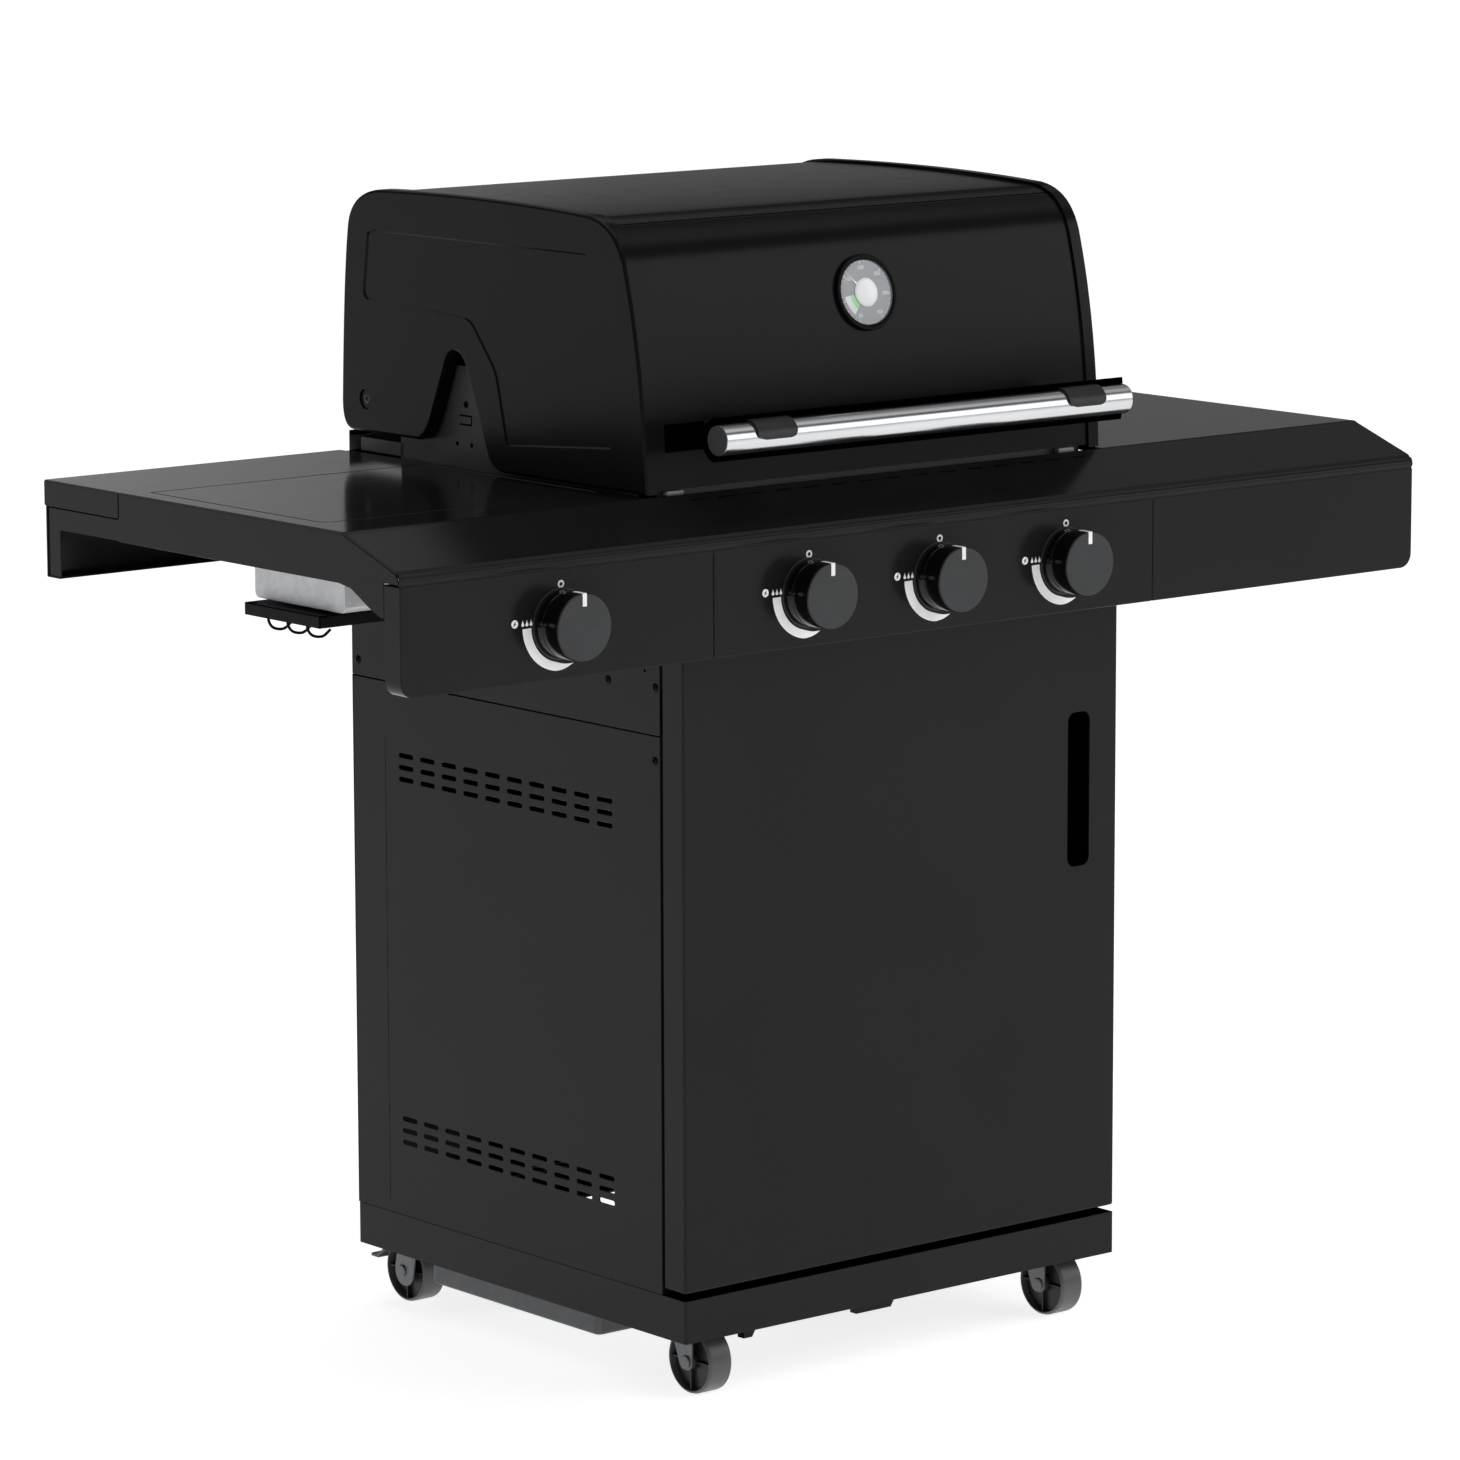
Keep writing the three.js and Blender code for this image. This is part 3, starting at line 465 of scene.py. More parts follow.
# ---- cart base ----
base_low, base_high = corners("base_frame")
RING_WALL = 2.0
base_loop = rectangle(base_low.x, base_high.x, base_low.y, base_high.y, 2.0)
base_hole = rectangle(base_low.x + RING_WALL, base_high.x - RING_WALL, base_low.y + RING_WALL,
                      base_high.y - RING_WALL, 1.0)
single("base_ring", "base_powder", "cart", slab, "z", base_low.z, base_high.z, base_loop, 0.4, 2,
       [base_hole], replaces=["base_frame"])
dress("powder", "base_floor", "back_panel", "door_header")

# The bottle tray: a shallow pan, with a hanger round half of it up to the cupboard floor.
low, high = corners("bottle_tray")
tray = rectangle(low.x, high.x, low.y, high.y, 7.0)
half = len(tray) // 2
bm = bmesh.new()
shell(bm, "z", low.z, base_low.z, tray, 1.5, 3.0)
slab(bm, "z", base_low.z, high.z, tray[:half] + inset(tray, 1.5)[:half][::-1], 0.2, 1)
piece("bottle_pan", bm, "dull_zinc", "cart", ["bottle_tray"])

# Wedge gussets under the front rail.
GUSSETS = [(-190.0, -173.0), (-52.0, -2.0)]
gusset_top = base_low.z + 2
gusset_low = base_low.z - 9.5
for index, (x0, x1) in enumerate(GUSSETS):
    wedge = [(x0, gusset_top), (x0, gusset_low), (x1 - 7, gusset_low), (x1, gusset_top)]
    single(f"front_gusset_{index + 1}", "powder", "cart", slab, "y", base_low.y + 10, base_low.y + 20,
           wedge, 0.6)

# ---- cabinet ----
VENT_LENGTH = 23.0
VENT_HEIGHT = 4.6
VENT_PITCH = 34.0
VENT_ROW_PITCH = 11.6
VENT_COLUMNS = 10
VENT_ROWS = 3
VENT_BACK = 199.3
VENT_TOPS = (555.0, 197.5)
SIDE_SCREWS = [(275.0, 640.0), (-113.0, 668.0), (-182.0, 669.0), (-181.0, 601.0)]
SMALL_HOLE = (-167.0, 683.0)
SEAM = 1.0
FRONT_FLANGE = 24.0
FOLD_Y = 233.0
FOLD_TOP = 571.0


def centred(u, v, length, width, radius, steps):
    """A rounded slot's outline about its centre."""
    return rectangle(u - length / 2, u + length / 2, v - width / 2, v + width / 2, radius, steps)


vents = [centred(VENT_BACK - column * VENT_PITCH, top - row * VENT_ROW_PITCH, VENT_LENGTH, VENT_HEIGHT,
                 VENT_HEIGHT / 2 - 0.1, 3)
         for top in VENT_TOPS for row in range(VENT_ROWS) for column in range(VENT_COLUMNS)]
for name, side in SIDES:
    low, high = corners(f"side_panel_{name}")
    outer = side * max(abs(low.x), abs(high.x))
    inner = side * (min(abs(low.x), abs(high.x)) - 0.2)
    bm = bmesh.new()
    slab(bm, "x", low.x, high.x, rectangle(low.y, high.y, low.z, high.z - SEAM, 0.8, 2), 0.35, 2, vents)
    box(bm, (inner, low.y + 0.2, low.z), (inner - side * FRONT_FLANGE, low.y + 1.7, high.z), 0.4, 2)
    rod(bm, [(outer - side * 0.1, FOLD_Y, low.z + 12), (outer - side * 0.1, FOLD_Y, FOLD_TOP)], 0.55, 8)
    piece(f"vented_side_{name}", bm, "powder", "cart", [f"side_panel_{name}"])
    low, high = corners(f"upper_side_{name}")
    single(f"upper_side_plate_{name}", "powder", "cart", slab, "x", low.x, high.x,
           rectangle(low.y, high.y, low.z, high.z, 0.8, 2), 0.35, replaces=[f"upper_side_{name}"])
    screws(f"side_screws_{name}", [(outer, y, z) for y, z in SIDE_SCREWS], (side, 0, 0), "screw", "cart")
    # A near-black disc over the small hole: painted shade for the hole's darkness.
    single(f"pilot_hole_shade_{name}", "recess", "cart", slab, "x", outer - side * 0.2, outer + side * 0.08,
           circle(*SMALL_HOLE, 1.6, 12), 0.02, 1)

# ---- door ----
door_low, door_high = corners("door_panel")
low, high = corners("door_grip")
GRIP_MARGIN = 4.0
slot_loop = rectangle(low.x + GRIP_MARGIN, high.x - GRIP_MARGIN, low.z + GRIP_MARGIN,
                      high.z - GRIP_MARGIN, 9.0, 8)
single("door_pan", "powder", "door", shell, "y", door_low.y, door_high.y,
       rectangle(door_low.x, door_high.x, door_low.z, door_high.z, 2.5, 4), 1.5, 2.4, 4, [slot_loop],
       replaces=["door_panel"])
# The grip's cup takes the near-black recess finish: painted shade inside the recess.
single("door_grip_cup", "recess", "door", shell, "y", high.y, low.y,
       rectangle(low.x, high.x, low.z, high.z, 12.0, 8), 2.0, 5.0, replaces=["door_grip"])

# A near-black strip under the door, a painted shadow of the door on the base, and the pins that it turns
# on, in the same shade black so they show no glint.
single("door_shadow_strip", "recess", "cart", box, (door_low.x + 3, door_low.y + 4, base_high.z - 1.5),
       (door_high.x - 3, door_high.y, base_high.z + 0.5), 0.6, 2)
HINGE_PIN = Matrix.Translation((door_low.x + 8, -198.5, 0))
PIN_TOP = 706.0
for level, z0, z1 in (("low", base_high.z + 0.5, base_high.z + 6.5), ("top", door_high.z + 0.2, PIN_TOP)):
    single(f"door_pin_{level}", "recess", "cart", lathe,
           [(0, z0), (5.0, z0), (5.0, z0 + 2.0), (3.4, z0 + 2.4), (3.4, z1 - 0.6), (2.8, z1), (0, z1)], 20,
           HINGE_PIN)

# ---- control panel and ledge ----
PANEL_CORNER = 14.0
BEND = 1.4
PANEL_GAP = 1.0
for name in ("left", "centre", "right"):
    low, high = corners(f"fascia_{name}")
    bend = BEND + 0.1
    top = high.z - PANEL_GAP
    loop = rounded([(low.x, low.z, PANEL_CORNER if name == "left" else bend),
                    (high.x, low.z, PANEL_CORNER if name == "right" else bend),
                    (high.x, top, bend), (low.x, top, bend)], 7)
    single(f"control_panel_{name}", "powder", "cart", shell, "y", low.y, high.y, loop, 1.5, BEND,
           replaces=[f"fascia_{name}"])
fascia_front = corners("fascia_centre")[0].y

# The ledge is one bent sheet whose front edge is rolled into a bead.
ledge_low, ledge_high = low, high = corners("front_ledge")
LEDGE_WALL = 1.5
slope_end = Vector((low.y + 6.5, low.z + 11.6))
ledge_inner = low.y + LEDGE_WALL + 0.4
ledge_loop = trace(
    (high.y, high.z), ((high.y - 3, high.z), (high.y - 6.5, high.z - 2.0), 4), slope_end,
    (slope_end + Vector((-0.8, -0.4)), slope_end + Vector((-1.4, -1.2)), 3),
    (low.y + 0.9, slope_end.y - 5.6), ((low.y, slope_end.y - 6.6), (low.y, slope_end.y - 8), 3),
    (low.y, low.z + 1.5), (low.y + 0.8, low.z),
    (ledge_inner, low.z), (ledge_inner, slope_end.y - 3.6), (slope_end.x + 0.6, slope_end.y - 1.9),
    (high.y, high.z - LEDGE_WALL - 0.6))
single("panel_ledge", "powder", "cart", slab, "x", low.x, high.x, ledge_loop, 0.3, 1,
       replaces=["front_ledge"])

# A packing strip fills the joint between the ledge and the panel.
single("ledge_packing", "powder", "cart", box, (low.x + 0.8, fascia_front + 0.7, low.z - 5),
       (high.x - 0.8, fascia_front + 3, low.z + 4), 0.5, 2)

# Cooling slots along the ledge, in front of the hood, drawn as thin near-black strips: painted shade for
# the openings.
slope = (ledge_high.z - 2.0 - slope_end.y) / (ledge_high.y - 6.5 - slope_end.x)
SLOT_PITCH = 33.6
SLOT_LENGTH = 18.0
SLOT_WIDTH = 1.5
SLOT_COUNT = 15
SLOT_Y = -197.5
SLOT_SHIFT = 5.0
bm = bmesh.new()
for index in range(SLOT_COUNT):
    x = (index - (SLOT_COUNT - 1) / 2) * SLOT_PITCH + SLOT_SHIFT
    slab(bm, "z", -0.4, 0.12, centred(x, 0, SLOT_LENGTH, SLOT_WIDTH, SLOT_WIDTH / 2 - 0.05, 3), 0.05, 1)
lift = Matrix.Translation((0, SLOT_Y, slope_end.y + (SLOT_Y - slope_end.x) * slope))
piece("ledge_slot_shade", bm, "recess", "cart", transform=lift @ Matrix.Rotation(math.atan(slope), 4, "X"))

# ---- worktops ----
cover_low, cover_high = corners("side_burner_cover")
table_low, table_high = corners("table_right")
COVER_RADIUS = 11.0
COVER_GAP = 1.5
SKIRT_BOTTOM = 798.7
RETURN_Z = 773.0
STEP_EDGE = corners("lid_cap_right")[1].x + 1.0
SKIRT_SEAM = 162.0
BAND_TOP = 820.0
SEAM_WIDTH = 1.4
post_front = table_high.y - 21


def under_slope(y):
    """Just below the ledge's sloping sheet."""
    return slope_end.y - 2.6 + (y - slope_end.x) * slope


def cover_loop(grown, rear_radius):
    """The lid's outline, grown by a gap."""
    x0, x1 = cover_low.x - grown, cover_high.x + grown
    y0, y1 = cover_low.y - grown, cover_high.y + grown
    radius = COVER_RADIUS + grown
    return rounded([(x0, y0, radius), (x1, y0, radius), (x1, y1, rear_radius), (x0, y1, rear_radius)])


# The end skirt follows the ledge at the front; its rear length stops higher up, over a band that
# ends in a leg.
skirt_top = table_high.z - 1.4
ledge_y = ledge_high.y + 0.3
nose_y = ledge_low.y + 2.6
front_skirt = rounded([
    (SKIRT_SEAM - SEAM_WIDTH, skirt_top, 0), (ledge_y, skirt_top, 0),
    (ledge_y, under_slope(ledge_high.y), 0), (slope_end.x, under_slope(slope_end.x), 0),
    (nose_y, slope_end.y - 9, 0), (nose_y, ledge_low.z, 0),
    (table_low.y + 0.3, ledge_low.z, 0), (table_low.y + 0.3, RETURN_Z, 3), (-222, 782, 6), (-196, 796, 10),
    (-178, SKIRT_BOTTOM, 8), (SKIRT_SEAM - SEAM_WIDTH, SKIRT_BOTTOM, 0)], 4)
rear_skirt = rounded([(table_high.y, skirt_top, 0), (SKIRT_SEAM, skirt_top, 0), (SKIRT_SEAM, BAND_TOP, 2),
                      (table_high.y, BAND_TOP, 2)], 4)
rear_post = rounded([
    (table_high.y - 1.6, BAND_TOP + 2, 0), (SKIRT_SEAM + 1, BAND_TOP + 2, 0),
    (SKIRT_SEAM + 1, SKIRT_BOTTOM, 0), (post_front, SKIRT_BOTTOM, 2), (post_front, table_low.z, 2),
    (table_high.y - 1.6, table_low.z, 0)], 4)

for name, side in SIDES:
    outer_x = side * table_high.x
    step_x = side * STEP_EDGE
    x0, x1 = sorted((step_x, outer_x))
    top = rounded([(x0, ledge_y, 0.6), (x1, ledge_y, 0.6), (x1, table_high.y, 1.5),
                   (x0, table_high.y, 1.5)], 3)
    bm = bmesh.new()
    slab(bm, "z", table_high.z - 1.5, table_high.z, top, 0.7, 3,
         [cover_loop(COVER_GAP, 3)] if name == "left" else [])
    box(bm, (side * table_low.x, ledge_high.y + 0.5, table_high.z - 3.0),
        (step_x + side * 1.5, table_high.y - 0.5, table_high.z - 1.5), 0.4, 2)
    x0, x1 = sorted((side * table_low.x, outer_x - side * 1.6))
    slab(bm, "y", table_high.y - 1.5, table_high.y,
         rectangle(x0, x1, table_low.z, table_high.z - 1.5, 0.5, 2), 0.3)
    slab(bm, "z", table_low.z, table_low.z + 1.5,
         rectangle(x0, x1, post_front, table_high.y - 0.5, 0.5, 2), 0.3)
    piece(f"worktop_{name}", bm, "table", "cart", [f"table_{name}"])
    # The skirt's sheets: outer face, then the joggled strips behind its joint.
    face, back = outer_x - side * 1.5, outer_x - side * 4.6
    bm = bmesh.new()
    slab(bm, "x", face, outer_x, front_skirt, 0.4)
    slab(bm, "x", face, outer_x, rear_skirt, 0.4)
    slab(bm, "x", back, outer_x - side * 3.0, rear_post, 0.3)
    strip = outer_x - side * 1.4
    box(bm, (back, SKIRT_SEAM - 2, BAND_TOP + 0.6), (strip, table_high.y - 1.6, BAND_TOP + 3.6), 0.3, 1)
    box(bm, (back, SKIRT_SEAM - 4, SKIRT_BOTTOM + 0.5), (strip, SKIRT_SEAM + 2, table_high.z - 1.6), 0.3, 1)
    piece(f"worktop_skirt_{name}", bm, "powder", "cart")
    # Shadow lines under the rear length and beside it.
    bm = bmesh.new()
    shade_in, shade_out = outer_x - side * 2.9, outer_x - side * 1.6
    box(bm, (shade_in, SKIRT_SEAM, BAND_TOP - 1.6), (shade_out, table_high.y - 1.7, BAND_TOP - 0.1), 0.2, 1)
    box(bm, (shade_in, SKIRT_SEAM - 0.8, SKIRT_BOTTOM),
        (shade_out, SKIRT_SEAM + 0.8, BAND_TOP - 1.7), 0.2, 1)
    piece(f"skirt_joint_{name}", bm, "recess", "cart")

# The flush lid over the side burner, with a turned-down rim under its plate.
bm = bmesh.new()
lid_loop = cover_loop(0, 2)
slab(bm, "z", cover_high.z - 1.8, cover_high.z, lid_loop, 0.6, 3)
rim = inset(lid_loop, 8)
slab(bm, "z", cover_low.z, cover_high.z - 1.7, rim, 0.4, 1, [inset(rim, 5)])
piece("burner_lid_plate", bm, "table", "burner_cover", ["side_burner_cover"])

# ---- side burner ----
low, high = corners("side_burner_box")
trough = rounded([(low.y, high.z, 0.5), (low.y, low.z, 6), (high.y, low.z, 6), (high.y, high.z, 0.5)])
trough_wall = trough[1:] + [(high.y - 2, high.z), *inset(trough, 2.0)[2:-1][::-1], (low.y + 2, high.z)]
flange = [(low.y - 21, high.z - 21), (low.y - 20, high.z - 22.4), (low.y + 0.4, high.z - 1.6),
          (low.y + 0.4, high.z)]
bm = bmesh.new()
slab(bm, "x", low.x + 1.5, high.x - 1.5, trough_wall, 0.3, 1)
slab(bm, "x", low.x, low.x + 1.5, trough, 0.5)
slab(bm, "x", high.x - 1.5, high.x, trough, 0.5)
slab(bm, "x", low.x, high.x, flange, 0.2, 1)
piece("burner_trough", bm, "zinc", "cart", ["side_burner_box"])
dress("iron", "pan_support")
dress("enamel", "side_burner_pan")
dress("brass", "side_burner", "gas_manifold")
dress("steel_y", *[f"valve_stem_{index}" for index in (1, 2, 3, 4)])

# ---- tool hooks ----
low, high = corners("tool_hooks")
RAIL_DROP = 10.0
HOOK_SPACING = 30.0
HOOK = [(0, 0, -6), (0, 0, -14), (4, -2, -20), (12, -6, -21), (19, -9, -15)]
rail = Vector((low.x + 0.7, low.y + 2, high.z - RAIL_DROP - 1.5))
bm = bmesh.new()
box(bm, (rail.x, rail.y, high.z - 1.6), high, 0.5, 2)
box(bm, rail, (low.x + 2.3, high.y, high.z), 0.5, 2)
box(bm, rail, (high.x, low.y + 3.6, high.z), 0.5, 2)
for index in range(3):
    root = Vector((low.x + 2.0, low.y + 22 + index * HOOK_SPACING, high.z))
    rod(bm, smooth_path([root + Vector(offset) for offset in HOOK]), 1.35)
piece("hook_rail", bm, "screw", "cart", ["tool_hooks"])

# ---- firebox and what is in it ----
dress("firebox", "firebox_floor", "firebox_walls")
UPSTAND_FRONT = 206.0
UPSTAND_SIDE = (262.0, 260.5)
RACK_SLOT = [(98, 892), (117, 892), (117, 890.4), (99.6, 890.4), (99.6, 883.6), (117, 883.6), (117, 882),
             (98, 882)]
# A grey steel sheet over the back panel, with side plates by it, lighter than the body paint: partly
# painted light, lifting the wall that lies in the hood's shade.
low, high = corners("back_panel")
bm = bmesh.new()
box(bm, (low.x + 0.5, low.y - 0.9, table_high.z - 1.0), (high.x - 0.5, low.y - 0.1, high.z - 5.0), 0.3, 1)
for side in (-1, 1):
    box(bm, (side * UPSTAND_SIDE[0], UPSTAND_FRONT, table_high.z - 1.0),
        (side * UPSTAND_SIDE[1], high.y - 10.0, high.z - 6.0), 0.3, 1)
piece("lightened_rear_upstand", bm, "firebox", "cart")
for name, side in SIDES:
    face = side * corners("firebox_walls")[1].x
    screws(f"firebox_screw_{name}", [(face, 107, 902)], (side, 0, 0), "screw", "cart", 3.4, 1.2)
    # The rack slot and holes in each firebox wall are thin near-black pieces: painted shade for the
    # openings.
    bm = bmesh.new()
    for loop in (RACK_SLOT, circle(99, 864, 2.2, 12), circle(121, 864, 2.2, 12)):
        slab(bm, "x", face - side * 0.3, face + side * 0.15, loop, 0.05, 1)
    piece(f"firebox_slot_shade_{name}", bm, "recess", "cart")

PORTS = 24
PORT_PITCH = 13.5
PORT_RISE = 0.34
BURNERS = (1, 2, 3)
burner_x = []
for index in BURNERS:
    low, high = corners(f"burner_{index}")
    middle = (low + high) / 2
    burner_x.append(middle.x)
    radius = (high.x - low.x) / 2
    bm = bmesh.new()
    profile = [(radius - 3, -low.y), (radius - 3, -low.y - 24), (radius - 1.2, -low.y - 26),
               (radius - 1.2, -low.y), (radius, -low.y), (radius, -high.y + 8), (radius - 4, -high.y),
               (0, -high.y)]
    lathe(bm, profile, 28, facing((middle.x, 0, middle.z), (0, -1, 0)))
    for side in (-1, 1):
        for step in range(PORTS):
            direction = Vector((side * 0.94, 0, PORT_RISE))
            spot = Vector((middle.x, low.y + 50 + step * PORT_PITCH, middle.z)) + direction * (radius - 0.3)
            lathe(bm, [(0, 0.45), (1.2, 0.45), (1.3, 0), (0, 0)], 8, facing(spot, direction, (0, 1, 0)))
    piece(f"tube_burner_{index}", bm, "steel_y", "cart", [f"burner_{index}"])

# Heat tents: one folded sheet over each burner, on two rails.
low, high = corners("heat_tents")
half_tent = [(3, high.z - 4.4), (36.8, low.z + 1), (38, low.z + 2), (4, high.z - 1)]
bm = bmesh.new()
for x in burner_x:
    left = [(x - u, z) for u, z in half_tent]
    right = [(x + u, z) for u, z in half_tent]
    tent = [left[2], left[1], left[0], (x, high.z - 3), *right, (x, high.z), left[3]]
    slab(bm, "y", low.y, high.y, tent, 0.3, 1)
for y in (low.y, high.y - 4):
    box(bm, (low.x, y, low.z), (high.x, y + 4, low.z + 3), 0.6, 2)
piece("flame_tents", bm, "firebox", "cart", ["heat_tents"])

GRATE_BARS = 13
BAR_WIDTH = 7.0
for name, side in SIDES:
    low, high = corners(f"grate_{name}")
    bm = bmesh.new()
    for index in range(GRATE_BARS):
        x = low.x + (high.x - low.x - BAR_WIDTH) * index / (GRATE_BARS - 1)
        bar = rounded([(x, low.z, 1.2), (x + BAR_WIDTH, low.z, 1.2), (x + 5.4, high.z, 1.6),
                       (x + 1.6, high.z, 1.6)], 3)
        slab(bm, "y", low.y, high.y, bar, 0.8, 2)
    for y, width, top in ((low.y, 9, high.z - 0.4), (high.y - 9, 9, high.z - 0.4),
                          ((low.y + high.y) / 2 - 4, 8, high.z - 3)):
        box(bm, (low.x, y, low.z), (high.x, y + width, top), 1.4, 3)
    piece(f"cast_grate_{name}", bm, "iron", "cart", [f"grate_{name}"])

RACK_LENGTHS = 9
RACK_CROSSES = 4
low, high = corners("warming_rack")
bm = bmesh.new()
for index in range(RACK_LENGTHS):
    y = low.y + 1.6 + (high.y - low.y - 3.2) * index / (RACK_LENGTHS - 1)
    rod(bm, [(low.x + 0.5, y, high.z - 1.5), (high.x - 0.5, y, high.z - 1.5)], 1.5)
for index in range(RACK_CROSSES):
    x = low.x + 2 + (high.x - low.x - 4) * index / (RACK_CROSSES - 1)
    rod(bm, [(x, low.y, low.z + 1.6), (x, high.y, low.z + 1.6)], 1.7)
piece("rack_wires", bm, "steel", "cart", ["warming_rack"])

# The grease tray, with its pull at the rear.
PULL_HALF = 60.0
low, high = corners("grease_tray")
tray_back = high.y - 12.8
bm = bmesh.new()
shell(bm, "z", low.z, high.z, rectangle(low.x, high.x, low.y, tray_back, 6.0), 1.2, 3.0)
box(bm, (-PULL_HALF, tray_back - 1, high.z - 5), (PULL_HALF, high.y, high.z - 3), 0.5, 2)
box(bm, (-PULL_HALF, high.y - 2, high.z - 16), (PULL_HALF, high.y, high.z - 3), 0.5, 2)
piece("drip_tray", bm, "zinc", "grease_drawer", ["grease_tray"])

# ---- knobs and their marks ----
BEZEL_RADIUS = 32.2
MARK_HEIGHT = 0.18
ARC_START = -178.5
ARC_END = -70.0
ARC_STEPS = 28
ARC_TAPER = 0.72
ARC_TIP = 38.6
POINTER_HALF = 2.4
SPARK = [(2.3, 2.7), (-1.7, 0.3), (-0.3, -0.3), (-2.3, -2.7), (1.7, -0.3), (0.3, 0.3)]


def heat_band(x, z):
    """A thick arc from nine o'clock round the bottom, tapering to a point."""
    edges = [], []
    for k in range(ARC_STEPS + 1):
        t = k / ARC_STEPS
        angle = math.radians(ARC_START + (ARC_END - ARC_START) * t)
        taper = max(0.0, (t - ARC_TAPER) / (1 - ARC_TAPER))
        for edge, radius, power in zip(edges, (43.2 - 1.4 * t, 33.4 + 1.2 * t), (1.4, 1.2)):
            radius += (ARC_TIP - radius) * taper ** power
            edge.append((x + radius * math.cos(angle), z + radius * math.sin(angle)))
    return edges[0] + edges[1][:-1][::-1]


def flame(x, z, size):
    """A drop-shaped flame, point upwards."""
    waist, hip = 0.12 * size, 0.55 * size
    neck, belly, top, foot = z + 0.3 * size, z - 0.35 * size, (x, z + size), (x, z - size)
    return trace(top, ((x + waist, neck), (x + hip, belly), 4), ((x + hip, z - size), foot, 4),
                 ((x - hip, z - size), (x - hip, belly), 4), ((x - waist, neck), top, 4))[:-1]


for index in (1, 2, 3, 4):
    low, high = corners(f"knob_{index}")
    x, _, z = (low + high) / 2
    radius = (high.x - low.x) / 2
    face = -low.y
    back = -high.y
    front = -fascia_front
    body = f"dial_{index}"
    forward = facing((x, 0, z), (0, -1, 0))
    single(f"knob_body_{index}", "gloss", body, lathe,
           [(0, face - 1.2), (radius - 0.9, face - 1.2), (radius - 0.25, face - 1.3), (radius, face - 1.8),
            (radius, back + 9.0), (radius - 0.5, back + 8.6), (radius - 0.5, back + 7.4),
            (radius, back + 7.0), (radius, back + 1), (radius - 1, back), (0, back)], 72, forward,
           replaces=[f"knob_{index}"])
    single(f"knob_insert_{index}", "knob_face", body, lathe,
           [(0, face - 0.15), (radius - 1.8, face - 0.15), (radius - 1.1, face - 0.4),
            (radius - 0.8, face - 1.0), (radius - 0.9, face - 1.3), (0, face - 1.3)], 72, forward)
    # The pointer: a white line on the face that turns over the edge and runs back along the side.
    x0, x1 = x - POINTER_HALF, x + POINTER_HALF
    bm = bmesh.new()
    box(bm, (x0, low.y, z + 18.8), (x1, low.y + 1.0, z + radius - 0.3), 0.35, 2)
    box(bm, (x0, low.y + 0.2, z + radius - 1.0), (x1, low.y + 15, z + radius + 0.12), 0.35, 2)
    piece(f"knob_pointer_{index}", bm, "print", body)
    # The fixed bezel ring behind the knob.
    single(f"knob_bezel_{index}", "plastic", "cart", lathe,
           [(20, front - 0.2), (BEZEL_RADIUS, front - 0.2), (BEZEL_RADIUS, front + 0.7),
            (BEZEL_RADIUS - 0.6, front + 1.3), (BEZEL_RADIUS - 2.2, front + 1.3),
            (BEZEL_RADIUS - 2.8, front + 0.6), (20, front + 0.6), (20, front - 0.2)], 72, forward)
    # Printed marks: off circle, spark, three flames and the heat band.
    spark_x, spark_z = x - 51.7, z + 4.2
    marks = [(circle(x, z + 35.1, 3.6), [circle(x, z + 35.1, 1.8, 16)]),
             (circle(spark_x, spark_z, 3.7), [])]
    marks += [(flame(x - 42.8 + 4.6 * step, z + 4.0, 2.9), []) for step in range(3)]
    marks.append((heat_band(x, z), []))
    bm = bmesh.new()
    for loop, holes in marks:
        slab(bm, "y", fascia_front - MARK_HEIGHT, fascia_front + 0.1, loop, 0.05, 1, holes)
    piece(f"knob_marks_{index}", bm, "print", "cart")
    single(f"knob_spark_{index}", "recess", "cart", slab, "y", fascia_front - MARK_HEIGHT - 0.06,
           fascia_front, [(spark_x + u, spark_z + v) for u, v in SPARK], 0.03, 1)

# ---- hood ----
cap_low, cap_high = corners("lid_cap_left")
skin_low, skin_high = corners("lid_skin")
HOOD_FRONT = -183.6
HOOD_BACK = cap_high.y + 1.5
HOOD_BOTTOM = 846.0
hinge_y, hinge_z = pivot("hood_hinge").yz


def crown(steps=12):
    """The hood's outline from the lower rear corner over the top to the lower front corner."""
    return trace((HOOD_BACK, 892), ((277.5, 1015), (269.5, 1062), steps),
                 ((263, 1097), (208, 1098.5), steps), ((38, 1103.4), (-100, 1095), steps),
                 ((-145, 1090), (-156, 1045), steps), ((-180, 960), (HOOD_FRONT, HOOD_BOTTOM), steps))


# The outline of an end cap starts along its lower edge, with the notch in it.
cap_loop = trace(
    (28, HOOD_BOTTOM), ((50, HOOD_BOTTOM), (56, 870), 6), (70, 904), ((84, 938), (84, 938), 3),
    ((90, 953.5), (102, 953.5), 6), ((112, 953), (117, 938), 6), (126, 917), ((135, 896), (135, 896), 3),
    ((147, 865), (160, 865), 6), (212, 865), (264, 865), ((HOOD_BACK, 865), (HOOD_BACK, 892), 8))
cap_loop += crown()[1:]
EMBOSS = rounded([(237, 1059, 8), (246, 992, 9), (150, 989, 30), (78, 985, 22), (40, 940, 40), (23, 872, 5),
                  (-137, 884, 8), (-143, 905, 30), (-128, 1010, 60), (-104, 1059.5, 14)], 7)
EMBOSS_DEPTH = 1.5
EMBOSS_SLOPE = 1.5
CAP_DEPTH = 14.5
CAP_WALL = 1.8
CAP_ROUND = 3.2
HINGE_RECESS = 10.2
cap_levels = [(depth, inward) for inward, depth in edge_steps(CAP_ROUND, 5)]
cap_levels += [(CAP_DEPTH, 0), (CAP_DEPTH, CAP_WALL), (CAP_WALL + CAP_ROUND, CAP_WALL),
               (CAP_WALL, CAP_WALL + CAP_ROUND * 0.8)]
